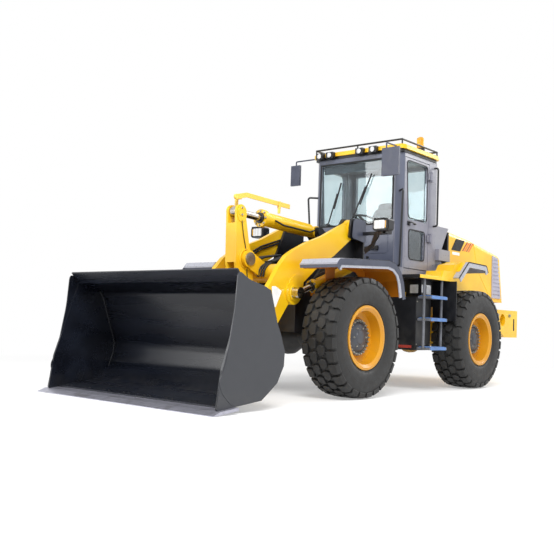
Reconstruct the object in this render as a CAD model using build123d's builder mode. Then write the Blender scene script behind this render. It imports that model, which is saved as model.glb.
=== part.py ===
"""Articulated wheel loader: rear frame with cab and engine, front frame with boom, Z-bar linkage and bucket.

Millimetres. +X is forward, +Y the machine's left and +Z up. The origin lies on the ground, half-way along
the machine. Side outlines are given as (distance ahead of the front axle, height above the ground).
"""
from build123d import *
import os
from math import cos, hypot, radians, sin

os.makedirs("parts", exist_ok=True)

# ---- driving dimensions ----
front_reach = 2530  # front axle to the tip of the cutting edge
rear_reach = 4600  # front axle to the back of the counterweight
front_axle_x = (rear_reach - front_reach) / 2
wheelbase = 2800
half_track = 905  # centre plane to the middle of a tyre
pivot_back = 1400  # front axle to the articulation pins
pin_fit = 0.06  # radial clearance of a pin that turns in its bore
seat_gap = 0.3  # between two pieces that lie against each other
side_gap = 5  # each side of an eye in its fork

# ---- wheels ----
tyre_radius = 670
tyre_width = 445
rim_radius = 320  # bead seat
flange_radius = 354
hub_radius = 175
spindle_radius = 60
axle_z = tyre_radius

# ---- pins of the lifting gear, (ahead of the front axle, height) ----
boom_pin = (-522, 1957)
bucket_pin = (1447, 410)
bellcrank_pin = (880, 1485)
tilt_eye_pin = (990, 2000)
link_rear_pin = (815, 774)
link_front_pin = (1499, 600)
tilt_base_pin = (-420, 1932)
lift_base_pin = (-450, 1500)
lift_eye_pin = (580, 1130)
pin_radius = 40
link_pin_radius = 30
link_eye_radius = 52
keeper_radius = 80  # flanges on the ends of the bucket's pins
keeper_thick = 20

# ---- boom ----
arm_inner = 445
arm_thick = 60
arm_outer = arm_inner + arm_thick
arm_boss_half = 42  # half-width of the bosses at the arm's two ends
arm_mid = arm_inner + arm_thick / 2
cross_tube = (585, 1345)
cross_tube_radius = 105

# ---- bellcrank and link ----
crank_outer = 80
crank_inner = 50
link_half = crank_inner - side_gap

# ---- cylinders ----
lift_y = 580
lift_barrel_radius = 58
lift_rod_radius = 36
lift_eye_half = 40
tilt_barrel_radius = 82
tilt_rod_radius = 40

# ---- bucket ----
bucket_half = 1233
edge_half = 1279
bucket_lean = radians(6)  # the parked bucket stands on its edge, its floor rising to the rear
bucket_plate = 16
side_plate_thick = 22
edge_thick = 28

# ---- cab ----
cab_front = -1300
cab_back = -2225
cab_half = 690
cab_corner = 612  # half-width of the windscreen wall between the slanted corner posts
cab_slant = 85  # how far the corner posts reach back
cab_floor_z = 1460
cab_sill_z = 1560
waist_z = 2120
cab_top_z = 3040
cab_wall = 45
roof_thick = 95
roof_lip = 40  # overhang of the roof at the sides
pane = 8
pane_inset = (cab_wall - pane) / 2
window_z = (2190, 2945)
door_front = -1395
door_back = -2015
door_gap = 10
door_frame = 48  # width of the door's frame round its panes
hinge_out = 26  # hinge axis outside the side wall
hinge_radius = 20
door_hinge = (door_back - 27, cab_half + hinge_out)  # (ahead of the front axle, y)
door_hinge_z = (1990, 2820)
knuckle_half = 45
platform_z = (1420, cab_floor_z)
platform_out = 1000


def fwd(distance):
    """X of a place given ahead of the front axle."""
    return front_axle_x + distance


def side_plane(y):
    """Plane whose sketches are seen from the right side: local x is X, local y is Z, extruding towards -Y."""
    return Plane(origin=(0, y, 0), x_dir=(1, 0, 0), z_dir=(0, -1, 0))


def side_plate(outline, y_low, y_high, radius=0, mode=Mode.ADD):
    """Plate cut to a side outline, between two values of y, with its corners rounded to radius."""
    with BuildSketch(side_plane(y_high)) as face:
        with BuildLine():
            Polyline(*[(fwd(x), z) for x, z in outline], close=True)
        make_face()
        if radius:
            fillet(face.vertices(), radius)
    extrude(face.sketch, amount=y_high - y_low, mode=mode)


def cross_bar(place, radius, y_low, y_high, mode=Mode.ADD):
    """Round bar, boss or bore along Y at a side place."""
    with BuildSketch(side_plane(y_high)) as face:
        with Locations((fwd(place[0]), place[1])):
            Circle(radius)
    extrude(face.sketch, amount=y_high - y_low, mode=mode)


def post(place, radius, z_low, z_high, mode=Mode.ADD):
    """Upright round bar, boss or bore at (ahead of the front axle, y)."""
    with BuildSketch(Plane.XY.offset(z_low)) as face:
        with Locations((fwd(place[0]), place[1])):
            Circle(radius)
    extrude(face.sketch, amount=z_high - z_low, mode=mode)


def block(x_span, y_span, z_span, mode=Mode.ADD):
    """Box between two distances ahead of the front axle, two values of y and two heights."""
    size = [abs(span[1] - span[0]) for span in (x_span, y_span, z_span)]
    middle = (fwd(sum(x_span) / 2), sum(y_span) / 2, sum(z_span) / 2)
    with Locations(middle):
        Box(*size, mode=mode)


def span(side, inner, outer):
    """Low and high y of a piece on the left (1) or right (-1) side."""
    return (inner, outer) if side > 0 else (-outer, -inner)


def tube(points, radius, bend):
    """Bent round tube through points given ahead of the front axle."""
    with BuildLine() as path:
        FilletPolyline(*[(fwd(x), y, z) for x, y, z in points], radius=bend)
    with BuildSketch(Plane(origin=path.line @ 0, z_dir=path.line % 0)) as section:
        Circle(radius)
    sweep(section.sketch, path=path.line)


def strut(start, end, radius, y, mode=Mode.ADD):
    """Round bar in the plane at y from one side place to another."""
    run = (end[0] - start[0], end[1] - start[1])
    face = Plane(origin=(fwd(start[0]), y, start[1]), z_dir=(run[0], 0, run[1]))
    with BuildSketch(face) as section:
        Circle(radius)
    extrude(section.sketch, amount=hypot(*run), mode=mode)


def along(start, end, distance):
    """Place at a distance from start on the line towards end."""
    length = hypot(end[0] - start[0], end[1] - start[1])
    share = distance / length
    return (start[0] + (end[0] - start[0]) * share, start[1] + (end[1] - start[1]) * share)


def finish(piece, label):
    """Name a finished piece and write it."""
    piece.part.label = label
    export_step(piece.part, f"parts/{label}.step")


# ---- wheels: tyre, and rim with its planetary hub ----
wheels = {
    "front_left": (0, 1),
    "front_right": (0, -1),
    "rear_left": (-wheelbase, 1),
    "rear_right": (-wheelbase, -1),
}
half_width = tyre_width / 2
tyre_sides = 20  # flat bands round the tread, and lugs in each of its two rows
turn_step = 360 / tyre_sides
lug_height = 26
lug_half = 58  # half-length round the tyre
# the rows stand half a step apart, so that corners of the lugs either side of the lowest one touch the ground
half_turn = radians(turn_step / 2)
lug_top = (tyre_radius - lug_half * sin(half_turn)) / cos(half_turn)
band_radius = (tyre_radius - lug_height) / cos(half_turn)
bead_reach = half_width - 52
# half section of the carcass: (outward from the tyre's middle, radius of its corners)
half_section = [
    (bead_reach, rim_radius - 20), (bead_reach, (flange_radius + 6) / cos(half_turn)), (half_width, 490),
    (half_width - 8, 585), (half_width - 30, band_radius - 22), (half_width - 85, band_radius),
]
tyre_rings = half_section + [(-across, radius) for across, radius in reversed(half_section)]
# outline of a lug, (outward from the tyre's middle, round it)
lug_outline = [(12, -lug_half), (206, -lug_half + 22), (206, lug_half), (12, lug_half - 22)]
rim_section = [
    (-196, flange_radius),
    (-180, flange_radius),
    (-174, rim_radius),
    (174, rim_radius),
    (180, flange_radius),
    (199, flange_radius),
    (199, 330),
    (180, 296),
    (58, 292),
    (42, 230),
    (58, hub_radius + 30),
    (74, hub_radius + 30),
    (74, hub_radius - 12),
    (96, hub_radius - 35),
    (102, 58),
    (102, 0),
    (-20, 0),
    (-20, spindle_radius + pin_fit),
    (-90, spindle_radius + pin_fit),
    (-90, hub_radius),
    (38, hub_radius),
    (22, 230),
    (34, 292),
    (-180, 296),
    (-196, 326),
]


def ring_point(ring, number):
    """Corner of the many-sided carcass, lying flat round the origin with its outer side up."""
    turn = radians((number + 0.5) * turn_step)
    return (ring[1] * cos(turn), ring[1] * sin(turn), ring[0])


with BuildPart() as carcass:
    flats = []
    for low_ring, high_ring in zip(tyre_rings, tyre_rings[1:] + tyre_rings[:1]):
        for number in range(tyre_sides):
            corners = [ring_point(low_ring, number), ring_point(low_ring, number + 1)]
            corners += [ring_point(high_ring, number + 1), ring_point(high_ring, number)]
            flats.append(Face(Wire.make_polygon(corners)))
    add(Solid(Shell(flats)))
    with BuildSketch(Plane.XY.offset(-half_width)) as bore:
        Circle(rim_radius + seat_gap)
    extrude(bore.sketch, amount=tyre_width, mode=Mode.SUBTRACT)
    lugs = []
    for hand in (1, -1):
        for number in range(tyre_sides):
            turn = radians((number + (0 if hand > 0 else 0.5)) * turn_step)
            outward = Vector(cos(turn), sin(turn), 0)
            with BuildSketch(Plane(origin=outward * lug_top, x_dir=(0, 0, hand), z_dir=outward)) as lug:
                with BuildLine():
                    Polyline(*lug_outline, close=True)
                make_face()
            lugs.append(extrude(lug.sketch, amount=-lug_height - 14, mode=Mode.PRIVATE))
    add(lugs)
for corner, (wheel_x, side) in wheels.items():
    wheel_middle = (fwd(wheel_x), side * half_track, axle_z)
    with BuildPart() as tyre:
        # the lying outline turns upright, its outer side away from the machine
        with Locations(Location(wheel_middle, (-90 * side, 0, 0))):
            add(carcass.part)
    finish(tyre, f"tyre_{corner}")
    wheel_plane = Plane(origin=wheel_middle, x_dir=(0, side, 0), z_dir=(1, 0, 0))
    with BuildPart() as rim:
        with BuildSketch(wheel_plane):
            with BuildLine():
                Polyline(*rim_section, close=True)
            make_face()
        revolve(axis=Axis(wheel_middle, (0, 1, 0)))
    finish(rim, f"rim_{corner}")

# ---- axles: differential bowl, tapered arms and brake housings ----
axle_section = [
    (0, 0), (0, 235), (60, 228), (140, 180), (230, 132), (560, 112), (640, 118),
    (660, 190), (760, 190), (790, 150), (half_track - 96, 150),
    (half_track - 96, spindle_radius), (half_track - 30, spindle_radius), (half_track - 30, 0),
]
for label, axle_x, pad_top in (("front_axle", 0, 850), ("rear_axle", -wheelbase, 880)):
    with BuildPart() as axle:
        with BuildSketch(Plane(origin=(fwd(axle_x), 0, axle_z), x_dir=(0, 1, 0), z_dir=(1, 0, 0))):
            with BuildLine():
                Polyline(*axle_section, close=True)
            make_face()
        revolve(axis=Axis((fwd(axle_x), 0, axle_z), (0, 1, 0)))
        # pads under the frame plates
        block((axle_x - 130, axle_x + 130), (360, 470), (axle_z, pad_top - seat_gap))
        mirror(about=Plane.XZ)
    finish(axle, label)

# ---- front frame ----
steer_base = (-1850, 150)  # (ahead of the front axle, y)
steer_eye = (-1140, 300)
steer_z = 800
fender_inner = 658
fender_outer = 1150
fender_line = [(660, 1420), (610, 1478), (-330, 1532), (-455, 1510), (-565, 1440), (-625, 1330), (-668, 1150)]
fender_lip = 85  # depth of the outer rim
fender_thick = 14
front_tie = (-860, 780)  # tie-down holes through the frame plates
rear_tie = (-3950, 960)
tie_radius = 32
frame_inner = 395
frame_plate = 32
tower_outer = 524  # inner face of the outer boom-pin plate
hitch_z = (545, 1065)  # middle of the lower and upper hinge plates
hitch_plate = 50
hitch_pin = 50
steer_pin = 30
tower_outline = [
    (-720, 2070), (-430, 2070), (-340, 1950), (-150, 1560), (230, 1180), (430, 1040),
    (430, 700), (240, 700), (200, 850), (-200, 850), (-320, 560), (-960, 520), (-960, 1090),
    (-720, 1250),
]
with BuildPart() as front_chassis:
    side_plate(tower_outline, frame_inner, frame_inner + frame_plate)
    # outer plate and web that hold the boom pin
    side_plate([(-720, 2070), (-430, 2070), (-400, 1840), (-720, 1800)], tower_outer, tower_outer + 26, radius=25)
    block((-720, -692), (frame_inner, tower_outer + 26), (1400, 2070))
    cross_bar(boom_pin, pin_radius, frame_inner, tower_outer + 40)
    # lug and pin of the lift cylinder
    cross_bar(lift_base_pin, 70, frame_inner + frame_plate, lift_y - lift_eye_half - side_gap)
    cross_bar(lift_base_pin, pin_radius, frame_inner + frame_plate, lift_y + lift_eye_half + 22)
    cross_bar(lift_base_pin, 62, lift_y + lift_eye_half + side_gap, lift_y + lift_eye_half + 24)
    cross_bar(front_tie, tie_radius, frame_inner, frame_inner + frame_plate, mode=Mode.SUBTRACT)
    mirror(about=Plane.XZ)
    # plates across the frame
    block((400, 430), (-frame_inner, frame_inner), (700, 1040))
    block((-720, -692), (-frame_inner, frame_inner), (1100, 1860))
    block((-960, 200), (-frame_inner, frame_inner), (1060, 1090))
    block((-960, -320), (-frame_inner, frame_inner), (520, 550))
    block((250, 430), (-frame_inner, frame_inner), (700, 730))
    # clevis of the tilt cylinder
    side_plate([(-692, 1860), (-692, 1700), (-560, 1700), (-370, 1890), (-370, 1985), (-480, 1985)], 50, 80, radius=20)
    cross_bar(tilt_base_pin, pin_radius, 0, 96)
    mirror(about=Plane.XZ)
    # rear wall with the lugs of the steering rods
    block((-985, -955), (-frame_inner - frame_plate, frame_inner + frame_plate), (520, 1090))
    for side in (1, -1):
        for low in (steer_z - 65, steer_z + 40):
            block((-1190, -985), span(side, 240, frame_inner), (low, low + 25))
    # hinge plates
    for plate_z in hitch_z:
        with BuildSketch(Plane.XY.offset(plate_z - hitch_plate / 2)):
            with BuildLine():
                Polyline(
                    (fwd(-900), -frame_inner), (fwd(-900), frame_inner), (fwd(-1000), frame_inner),
                    (fwd(-pivot_back), 120), (fwd(-pivot_back), -120), (fwd(-1000), -frame_inner), close=True,
                )
            make_face()
            with Locations((fwd(-pivot_back), 0)):
                Circle(120)
        extrude(amount=hitch_plate)
    post((-pivot_back, 0), hitch_pin + pin_fit, 400, 1200, mode=Mode.SUBTRACT)
finish(front_chassis, "front_chassis")

# ---- inner plates under the front fenders, with their arms ----
with BuildPart() as fender_stays:
    underside = [(x, z - seat_gap) for x, z in fender_line]
    lower_edge = [
        (-560, 1150), (-500, 1330), (-380, 1420), (-180, 1445), (30, 1440), (60, 1110), (190, 1110),
        (210, 1420), (600, 1390),
    ]
    side_plate(underside + lower_edge, fender_inner + 2, fender_inner + 10)
    block((-620, -560), (frame_inner + frame_plate + seat_gap, fender_inner + 2), (1180, 1230))
    block((90, 160), (frame_inner + frame_plate + seat_gap, fender_inner + 2), (1120, 1170))
    mirror(about=Plane.XZ)
finish(fender_stays, "fender_stays")

# ---- front fenders ----
with BuildPart() as front_fenders:
    with BuildSketch(side_plane(fender_outer)) as face:
        with BuildLine():
            top_line = Polyline(*[(fwd(x), z) for x, z in fender_line])
            offset(top_line, amount=fender_thick, side=Side.RIGHT, closed=True)
        make_face()
    extrude(face.sketch, amount=fender_outer - fender_inner)
    with BuildSketch(side_plane(fender_outer)) as rim_face:
        with BuildLine():
            top_line = Polyline(*[(fwd(x), z) for x, z in fender_line])
            offset(top_line, amount=fender_lip, side=Side.LEFT, closed=True)
        make_face()
    extrude(rim_face.sketch, amount=12)
    mirror(about=Plane.XZ)
finish(front_fenders, "front_fenders")

# ---- headlights on arms from the tower ----
lamp_place = (-497, 954, 1978)
lamp_half = (55, 110, 70)
with BuildPart() as headlights:
    block(
        (lamp_place[0] - lamp_half[0], lamp_place[0] + lamp_half[0]),
        (lamp_place[1] - lamp_half[1], lamp_place[1] + lamp_half[1]),
        (lamp_place[2] - lamp_half[2], lamp_place[2] + lamp_half[2]),
    )
    chamfer(headlights.edges().filter_by(Axis.X), 22)
    block((-690, -650), (tower_outer + 26 + seat_gap, lamp_place[1]), (1890, 1930))
    block((-690, lamp_place[0] - lamp_half[0]), (lamp_place[1] - 40, lamp_place[1]), (1890, 1930))
    mirror(about=Plane.XZ)
finish(headlights, "headlights")

# ---- boom: two arms and a cross tube ----
boom_outline = [
    (boom_pin[0], boom_pin[1] + 112), (-240, 1945), (50, 1810), (360, 1700), (580, 1600), (700, 1530), (820, 1405),
    (920, 1265), (1520, 475), (1395, 350), (830, 775), (670, 980), (470, 1200), (180, 1415), (-160, 1600),
    (boom_pin[0], boom_pin[1] - 112),
]
with BuildPart() as boom:
    side_plate(boom_outline, arm_inner, arm_outer)
    cross_bar(boom_pin, 112, frame_inner + frame_plate + side_gap, arm_outer + 12)
    cross_bar(lift_eye_pin, 130, arm_inner, arm_outer + 18)
    cross_bar(bucket_pin, 85, arm_mid - arm_boss_half, arm_mid + arm_boss_half)
    cross_bar(cross_tube, cross_tube_radius, 0, arm_inner)
    # bracket that carries the bellcrank
    bracket_outline = [
        (cross_tube[0] - 60, cross_tube[1] + 80), (bellcrank_pin[0] - 30, bellcrank_pin[1] + 88),
        (bellcrank_pin[0] + 40, bellcrank_pin[1] - 80), (cross_tube[0] - 20, cross_tube[1] - 100),
    ]
    side_plate(bracket_outline, crank_outer + side_gap, crank_outer + side_gap + 35)
    cross_bar(bellcrank_pin, 95, crank_outer + side_gap, crank_outer + side_gap + 45)
    cross_bar(boom_pin, pin_radius + pin_fit, arm_inner - 60, arm_outer + 60, mode=Mode.SUBTRACT)
    cross_bar(bucket_pin, pin_radius + pin_fit, arm_inner - 60, arm_outer + 60, mode=Mode.SUBTRACT)
    cross_bar(bellcrank_pin, pin_radius + pin_fit, crank_outer, crank_outer + 90, mode=Mode.SUBTRACT)
    mirror(about=Plane.XZ)
finish(boom, "boom")

# ---- bucket ----
slope = sin(bucket_lean) / cos(bucket_lean)


def floor_z(x, rise=0):
    """Height of the bucket's floor line at a distance ahead of the front axle."""
    return (front_reach - x) * slope + rise


shell_line = [
    (2330, floor_z(2330, edge_thick)), (1860, floor_z(1860, edge_thick)), (1610, 300), (1560, 500),
    (1790, 1085), (2120, 1160), (2221, 1262),
]
shell_points = [(fwd(x), z) for x, z in shell_line]
shell_bends = (120, 150, 150, 60, 20)
side_outline = [
    (2440, floor_z(2440, edge_thick)), (1870, floor_z(1870, edge_thick)), (1660, 245), (1572, 400), (1565, 540),
    (1690, 810), (1790, 1095), (2120, 1165), (2390, 380),
]
ear_gap = arm_boss_half + side_gap
ear_thick = 30
with BuildPart() as bucket:
    # ears round the arm's end
    ear_outline = [
        (bucket_pin[0] - 70, bucket_pin[1] - 60), (bucket_pin[0] - 40, bucket_pin[1] + 70),
        (1585, 640), (1800, 900), (1800, 300), (1640, 240), (1560, 270),
    ]
    for ear_y in (arm_mid - ear_gap - ear_thick, arm_mid + ear_gap):
        side_plate(ear_outline, ear_y, ear_y + ear_thick)
        cross_bar(bucket_pin, 85, ear_y, ear_y + ear_thick)
    # ears of the link
    link_ear = [
        (link_front_pin[0] - 60, link_front_pin[1] + 20), (link_front_pin[0] - 20, link_front_pin[1] + 90),
        (1700, 960), (1850, 960), (1850, 450), (1620, 400), (link_front_pin[0], link_front_pin[1] - 62),
    ]
    side_plate(link_ear, link_half + side_gap, link_half + side_gap + 30)
    cross_bar(link_front_pin, 64, link_half + side_gap, link_half + side_gap + 30)
    mirror(about=Plane.XZ)
    # the ears end on the back of the shell
    with BuildSketch(side_plane(bucket_half)) as hollow:
        with BuildLine():
            back = FilletPolyline(*shell_points, radius=shell_bends)
            Polyline(back @ 1, back @ 0)
        make_face()
    extrude(hollow.sketch, amount=2 * bucket_half, mode=Mode.SUBTRACT)
    with BuildSketch(side_plane(bucket_half - side_plate_thick)) as face:
        with BuildLine():
            shell = FilletPolyline(*shell_points, radius=shell_bends)
            offset(shell, amount=bucket_plate, side=Side.RIGHT, closed=True)
        make_face()
    extrude(face.sketch, amount=2 * (bucket_half - side_plate_thick))
    for side in (1, -1):
        side_plate(side_outline, *span(side, bucket_half - side_plate_thick, bucket_half), radius=15)
        for ear_y in (arm_mid - ear_gap - ear_thick, arm_mid + ear_gap):
            low, high = span(side, ear_y, ear_y + ear_thick)
            cross_bar(bucket_pin, pin_radius + pin_fit, low, high, mode=Mode.SUBTRACT)
    cross_bar(link_front_pin, link_pin_radius + pin_fit, -link_half - 60, link_half + 60, mode=Mode.SUBTRACT)
finish(bucket, "bucket")

edge_outline = [
    (front_reach, 0), (front_reach - 4, 6), (2440, floor_z(2440, edge_thick) - seat_gap),
    (2215, floor_z(2215, edge_thick) - seat_gap), (2215, floor_z(2215)),
]
with BuildPart() as cutting_edge:
    side_plate(edge_outline, -edge_half, edge_half)
finish(cutting_edge, "cutting_edge")

with BuildPart() as bucket_pins:
    reach = ear_gap + ear_thick + 2
    cross_bar(bucket_pin, pin_radius, arm_mid - reach, arm_mid + reach)
    # bolted keeper flanges at both ends
    cross_bar(bucket_pin, keeper_radius, arm_mid - reach - keeper_thick, arm_mid - reach)
    cross_bar(bucket_pin, keeper_radius, arm_mid + reach, arm_mid + reach + keeper_thick)
    mirror(about=Plane.XZ)
finish(bucket_pins, "bucket_pins")

# ---- bellcrank, link and their pins ----
with BuildPart() as bellcrank:
    upper = [
        (tilt_eye_pin[0] - 70, tilt_eye_pin[1] - 20), (tilt_eye_pin[0] + 74, tilt_eye_pin[1] + 10),
        (1060, 1900), (1050, 1440), (bellcrank_pin[0] + 60, bellcrank_pin[1] - 80),
        (bellcrank_pin[0] - 84, bellcrank_pin[1] + 20), (845, 1650),
    ]
    lower = [
        (bellcrank_pin[0] - 90, bellcrank_pin[1]), (1050, 1440), (link_rear_pin[0] + 110, link_rear_pin[1]),
        (link_rear_pin[0] - 105, link_rear_pin[1]),
    ]
    for outline in (upper, lower):
        side_plate(outline, crank_inner, crank_outer)
    for place, radius in ((tilt_eye_pin, 75), (bellcrank_pin, 92), (link_rear_pin, 110)):
        cross_bar(place, radius, crank_inner, crank_outer)
    mirror(about=Plane.XZ)
    # web in front, tube round the pivot
    side_plate([(1028, 1440), (1035, 1870), (1060, 1870), (1051, 1440)], -crank_inner, crank_inner)
    cross_bar(bellcrank_pin, 80, -crank_inner, crank_inner)
    cross_bar(bellcrank_pin, pin_radius + pin_fit, -crank_outer, crank_outer, mode=Mode.SUBTRACT)
finish(bellcrank, "bellcrank")

with BuildPart() as bellcrank_shaft:
    cross_bar(bellcrank_pin, pin_radius, -crank_outer - side_gap - 60, crank_outer + side_gap + 60)
    for low in (-crank_outer - side_gap - 62, crank_outer + side_gap + 47):
        cross_bar(bellcrank_pin, 72, low, low + 15)
finish(bellcrank_shaft, "bellcrank_shaft")

with BuildPart() as link:
    side_plate(
        [(link_rear_pin[0], link_rear_pin[1] + 48), (link_front_pin[0], link_front_pin[1] + 45),
         (link_front_pin[0], link_front_pin[1] - 45), (link_rear_pin[0], link_rear_pin[1] - 48)],
        -link_half, link_half,
    )
    cross_bar(link_rear_pin, 62, -link_half, link_half)
    cross_bar(link_front_pin, link_eye_radius, -link_half, link_half)
    cross_bar(link_front_pin, link_pin_radius + pin_fit, -link_half, link_half, mode=Mode.SUBTRACT)
finish(link, "bucket_link")

with BuildPart() as link_shaft:
    cross_bar(link_front_pin, link_pin_radius, -link_half - side_gap - 42, link_half + side_gap + 42)
finish(link_shaft, "link_shaft")

# ---- tilt cylinder ----
tilt_head = along(tilt_base_pin, tilt_eye_pin, 1010)
tilt_tail = along(tilt_base_pin, tilt_eye_pin, 120)
with BuildPart() as tilt_barrel:
    strut(tilt_tail, tilt_head, tilt_barrel_radius, 0)
    strut(along(tilt_base_pin, tilt_eye_pin, 960), tilt_head, tilt_barrel_radius + 20, 0)
    strut(tilt_base_pin, tilt_tail, 42, 0)
    cross_bar(tilt_base_pin, 72, -link_half, link_half)
    strut(along(tilt_base_pin, tilt_eye_pin, 150), along(tilt_base_pin, tilt_eye_pin, 1020), tilt_rod_radius + 0.5, 0, mode=Mode.SUBTRACT)
    cross_bar(tilt_base_pin, pin_radius + pin_fit, -link_half, link_half, mode=Mode.SUBTRACT)
finish(tilt_barrel, "tilt_barrel")

with BuildPart() as tilt_rod:
    strut(along(tilt_base_pin, tilt_eye_pin, 320), tilt_eye_pin, tilt_rod_radius, 0)
    cross_bar(tilt_eye_pin, 60, -link_half, link_half)
finish(tilt_rod, "tilt_rod")

# ---- lift cylinders ----
for name, side in (("left", 1), ("right", -1)):
    y = side * lift_y
    head = along(lift_base_pin, lift_eye_pin, 850)
    with BuildPart() as lift_barrel:
        strut(along(lift_base_pin, lift_eye_pin, 90), head, lift_barrel_radius, y)
        strut(along(lift_base_pin, lift_eye_pin, 800), head, lift_barrel_radius + 14, y)
        cross_bar(lift_base_pin, 66, y - lift_eye_half, y + lift_eye_half)
        strut(lift_base_pin, along(lift_base_pin, lift_eye_pin, 100), 36, y)
        strut(along(lift_base_pin, lift_eye_pin, 130), along(lift_base_pin, lift_eye_pin, 860), lift_rod_radius + 0.5, y, mode=Mode.SUBTRACT)
        cross_bar(lift_base_pin, pin_radius + pin_fit, y - lift_eye_half, y + lift_eye_half, mode=Mode.SUBTRACT)
    finish(lift_barrel, f"lift_barrel_{name}")
    with BuildPart() as lift_rod:
        strut(along(lift_base_pin, lift_eye_pin, 200), lift_eye_pin, lift_rod_radius, y)
        cross_bar(lift_eye_pin, 62, y - lift_eye_half, y + lift_eye_half)
    finish(lift_rod, f"lift_rod_{name}")

# ---- steering cylinders ----
steer_run = (steer_eye[0] - steer_base[0], steer_eye[1] - steer_base[1])
steer_length = hypot(*steer_run)
for name, side in (("left", 1), ("right", -1)):
    base = Plane(
        origin=(fwd(steer_base[0]), side * steer_base[1], steer_z),
        x_dir=(-side * steer_run[1], steer_run[0], 0), z_dir=(steer_run[0], side * steer_run[1], 0),
    )
    with BuildPart() as steer_barrel:
        for start, length, radius in ((80, 400, 40), (430, 50, 44), (0, 90, 26)):
            with BuildSketch(base.offset(start)):
                Circle(radius)
            extrude(amount=length)
        with Locations((fwd(steer_base[0]), side * steer_base[1], steer_z)):
            Cylinder(radius=48, height=70)
        with BuildSketch(base.offset(120)) as bore:
            Circle(28.5)
        extrude(amount=600, mode=Mode.SUBTRACT)
        post((steer_base[0], side * steer_base[1]), steer_pin + pin_fit, steer_z - 50, steer_z + 50, mode=Mode.SUBTRACT)
    finish(steer_barrel, f"steer_barrel_{name}")
    with BuildPart() as steer_rod:
        with BuildSketch(base.offset(290)):
            Circle(28)
        extrude(amount=steer_length - 290)
        with Locations((fwd(steer_eye[0]), side * steer_eye[1], steer_z)):
            Cylinder(radius=45, height=70)
    finish(steer_rod, f"steer_rod_{name}")

# ---- rear frame ----
hood_front = -2780
hood_half = 600
hood_wall = 25
hood_hinge = (hood_front + 30, 2195)
hood_pin = 10
rail_inner = 360
rail_outer = 395
rail_outline = [
    (-1560, 520), (-1560, 1100), (-4100, 1100), (-4100, 800), (-3300, 700), (-3050, 880), (-2550, 880), (-2350, 640),
]
with BuildPart() as rear_chassis:
    side_plate(rail_outline, rail_inner, rail_outer)
    cross_bar(rear_tie, tie_radius, rail_inner, rail_outer, mode=Mode.SUBTRACT)
    mirror(about=Plane.XZ)
    block((-1600, -1560), (-rail_outer, rail_outer), (520, 1250))
    for side in (1, -1):
        block((-1610, -1550), span(side, 80, 358), (735, 865), mode=Mode.SUBTRACT)
        for low in (steer_z - 65, steer_z + 40):
            block((-1910, -1800), span(side, 90, rail_inner), (low, low + 25))
        post((steer_base[0], side * steer_base[1]), steer_pin, steer_z - 60, steer_z + 60)
    block((-4100, -2600), (-rail_inner, rail_inner), (1060, 1100))
    for plate_z in hitch_z:
        for step in (-1, 1):
            low = plate_z + step * (hitch_plate / 2 + 2) + (0 if step > 0 else -30)
            with BuildSketch(Plane.XY.offset(low)):
                with BuildLine():
                    Polyline(
                        (fwd(-1580), -260), (fwd(-1580), 260), (fwd(-pivot_back), 110),
                        (fwd(-pivot_back), -110), close=True,
                    )
                make_face()
                with Locations((fwd(-pivot_back), 0)):
                    Circle(110)
            extrude(amount=30)
        post((-pivot_back, 0), hitch_pin, plate_z - hitch_plate / 2 - 32, plate_z + hitch_plate / 2 + 32)
finish(rear_chassis, "rear_chassis")

with BuildPart() as cab_bearers:
    bearer_z = (1190, 1250)
    front_bearer = (-1555, -1495)
    rear_bearer = (-2210, -2150)
    block((-1559.7, front_bearer[1]), (-650, 650), bearer_z)
    block(rear_bearer, (-1000, 1000), bearer_z)
    for side in (1, -1):
        block(rear_bearer, span(side, rail_inner, rail_outer), (1100 + seat_gap, bearer_z[0]))
        for bearer in (front_bearer, rear_bearer):
            block(bearer, span(side, 480, 600), (bearer_z[1], cab_floor_z - seat_gap))
finish(cab_bearers, "cab_bearers")

# ---- bulkhead behind the cab, with the hood's hinge ----
with BuildPart() as rear_bulkhead:
    block((hood_front + seat_gap, hood_front + 40), (-hood_half, hood_half), (1100 + seat_gap, 2160))
    for side in (1, -1):
        for inner, outer in ((360, 383), (417, 440)):
            block((hood_hinge[0] - 20, hood_hinge[0] + 20), span(side, inner, outer), (2150, hood_hinge[1]))
            cross_bar(hood_hinge, 20, *span(side, inner, outer))
        cross_bar(hood_hinge, hood_pin, *span(side, 360, 440))
finish(rear_bulkhead, "rear_bulkhead")

weight_front = -3640
weight_height = 410
with BuildPart() as counterweight:
    with BuildSketch(Plane.XY.offset(700)):
        with BuildLine():
            Polyline(
                (fwd(weight_front), 560), (fwd(weight_front), 905), (fwd(-4480), 905), (fwd(-rear_reach), 800),
                (fwd(-rear_reach), -800), (fwd(-4480), -905), (fwd(weight_front), -905), (fwd(weight_front), -560),
                (fwd(-4100 - seat_gap), -560), (fwd(-4100 - seat_gap), 560), close=True,
            )
        make_face()
    extrude(amount=weight_height)
    for side in (1, -1):
        # lower edge of the wings rises towards the tyres, and a way in to the tie-down hole
        side_plate(
            [(weight_front + 10, 690), (-4050, 690), (weight_front + 10, 900)], *span(side, 550, 910), mode=Mode.SUBTRACT,
        )
        cross_bar(rear_tie, 90, *span(side, 550, 910), mode=Mode.SUBTRACT)
    # mouth and bore of the towing pin
    block((-rear_reach, -4440), (-90, 90), (790, 880), mode=Mode.SUBTRACT)
    with Locations((fwd(-4530), 0, 940)):
        Cylinder(radius=25, height=600, mode=Mode.SUBTRACT)
finish(counterweight, "counterweight")

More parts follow.
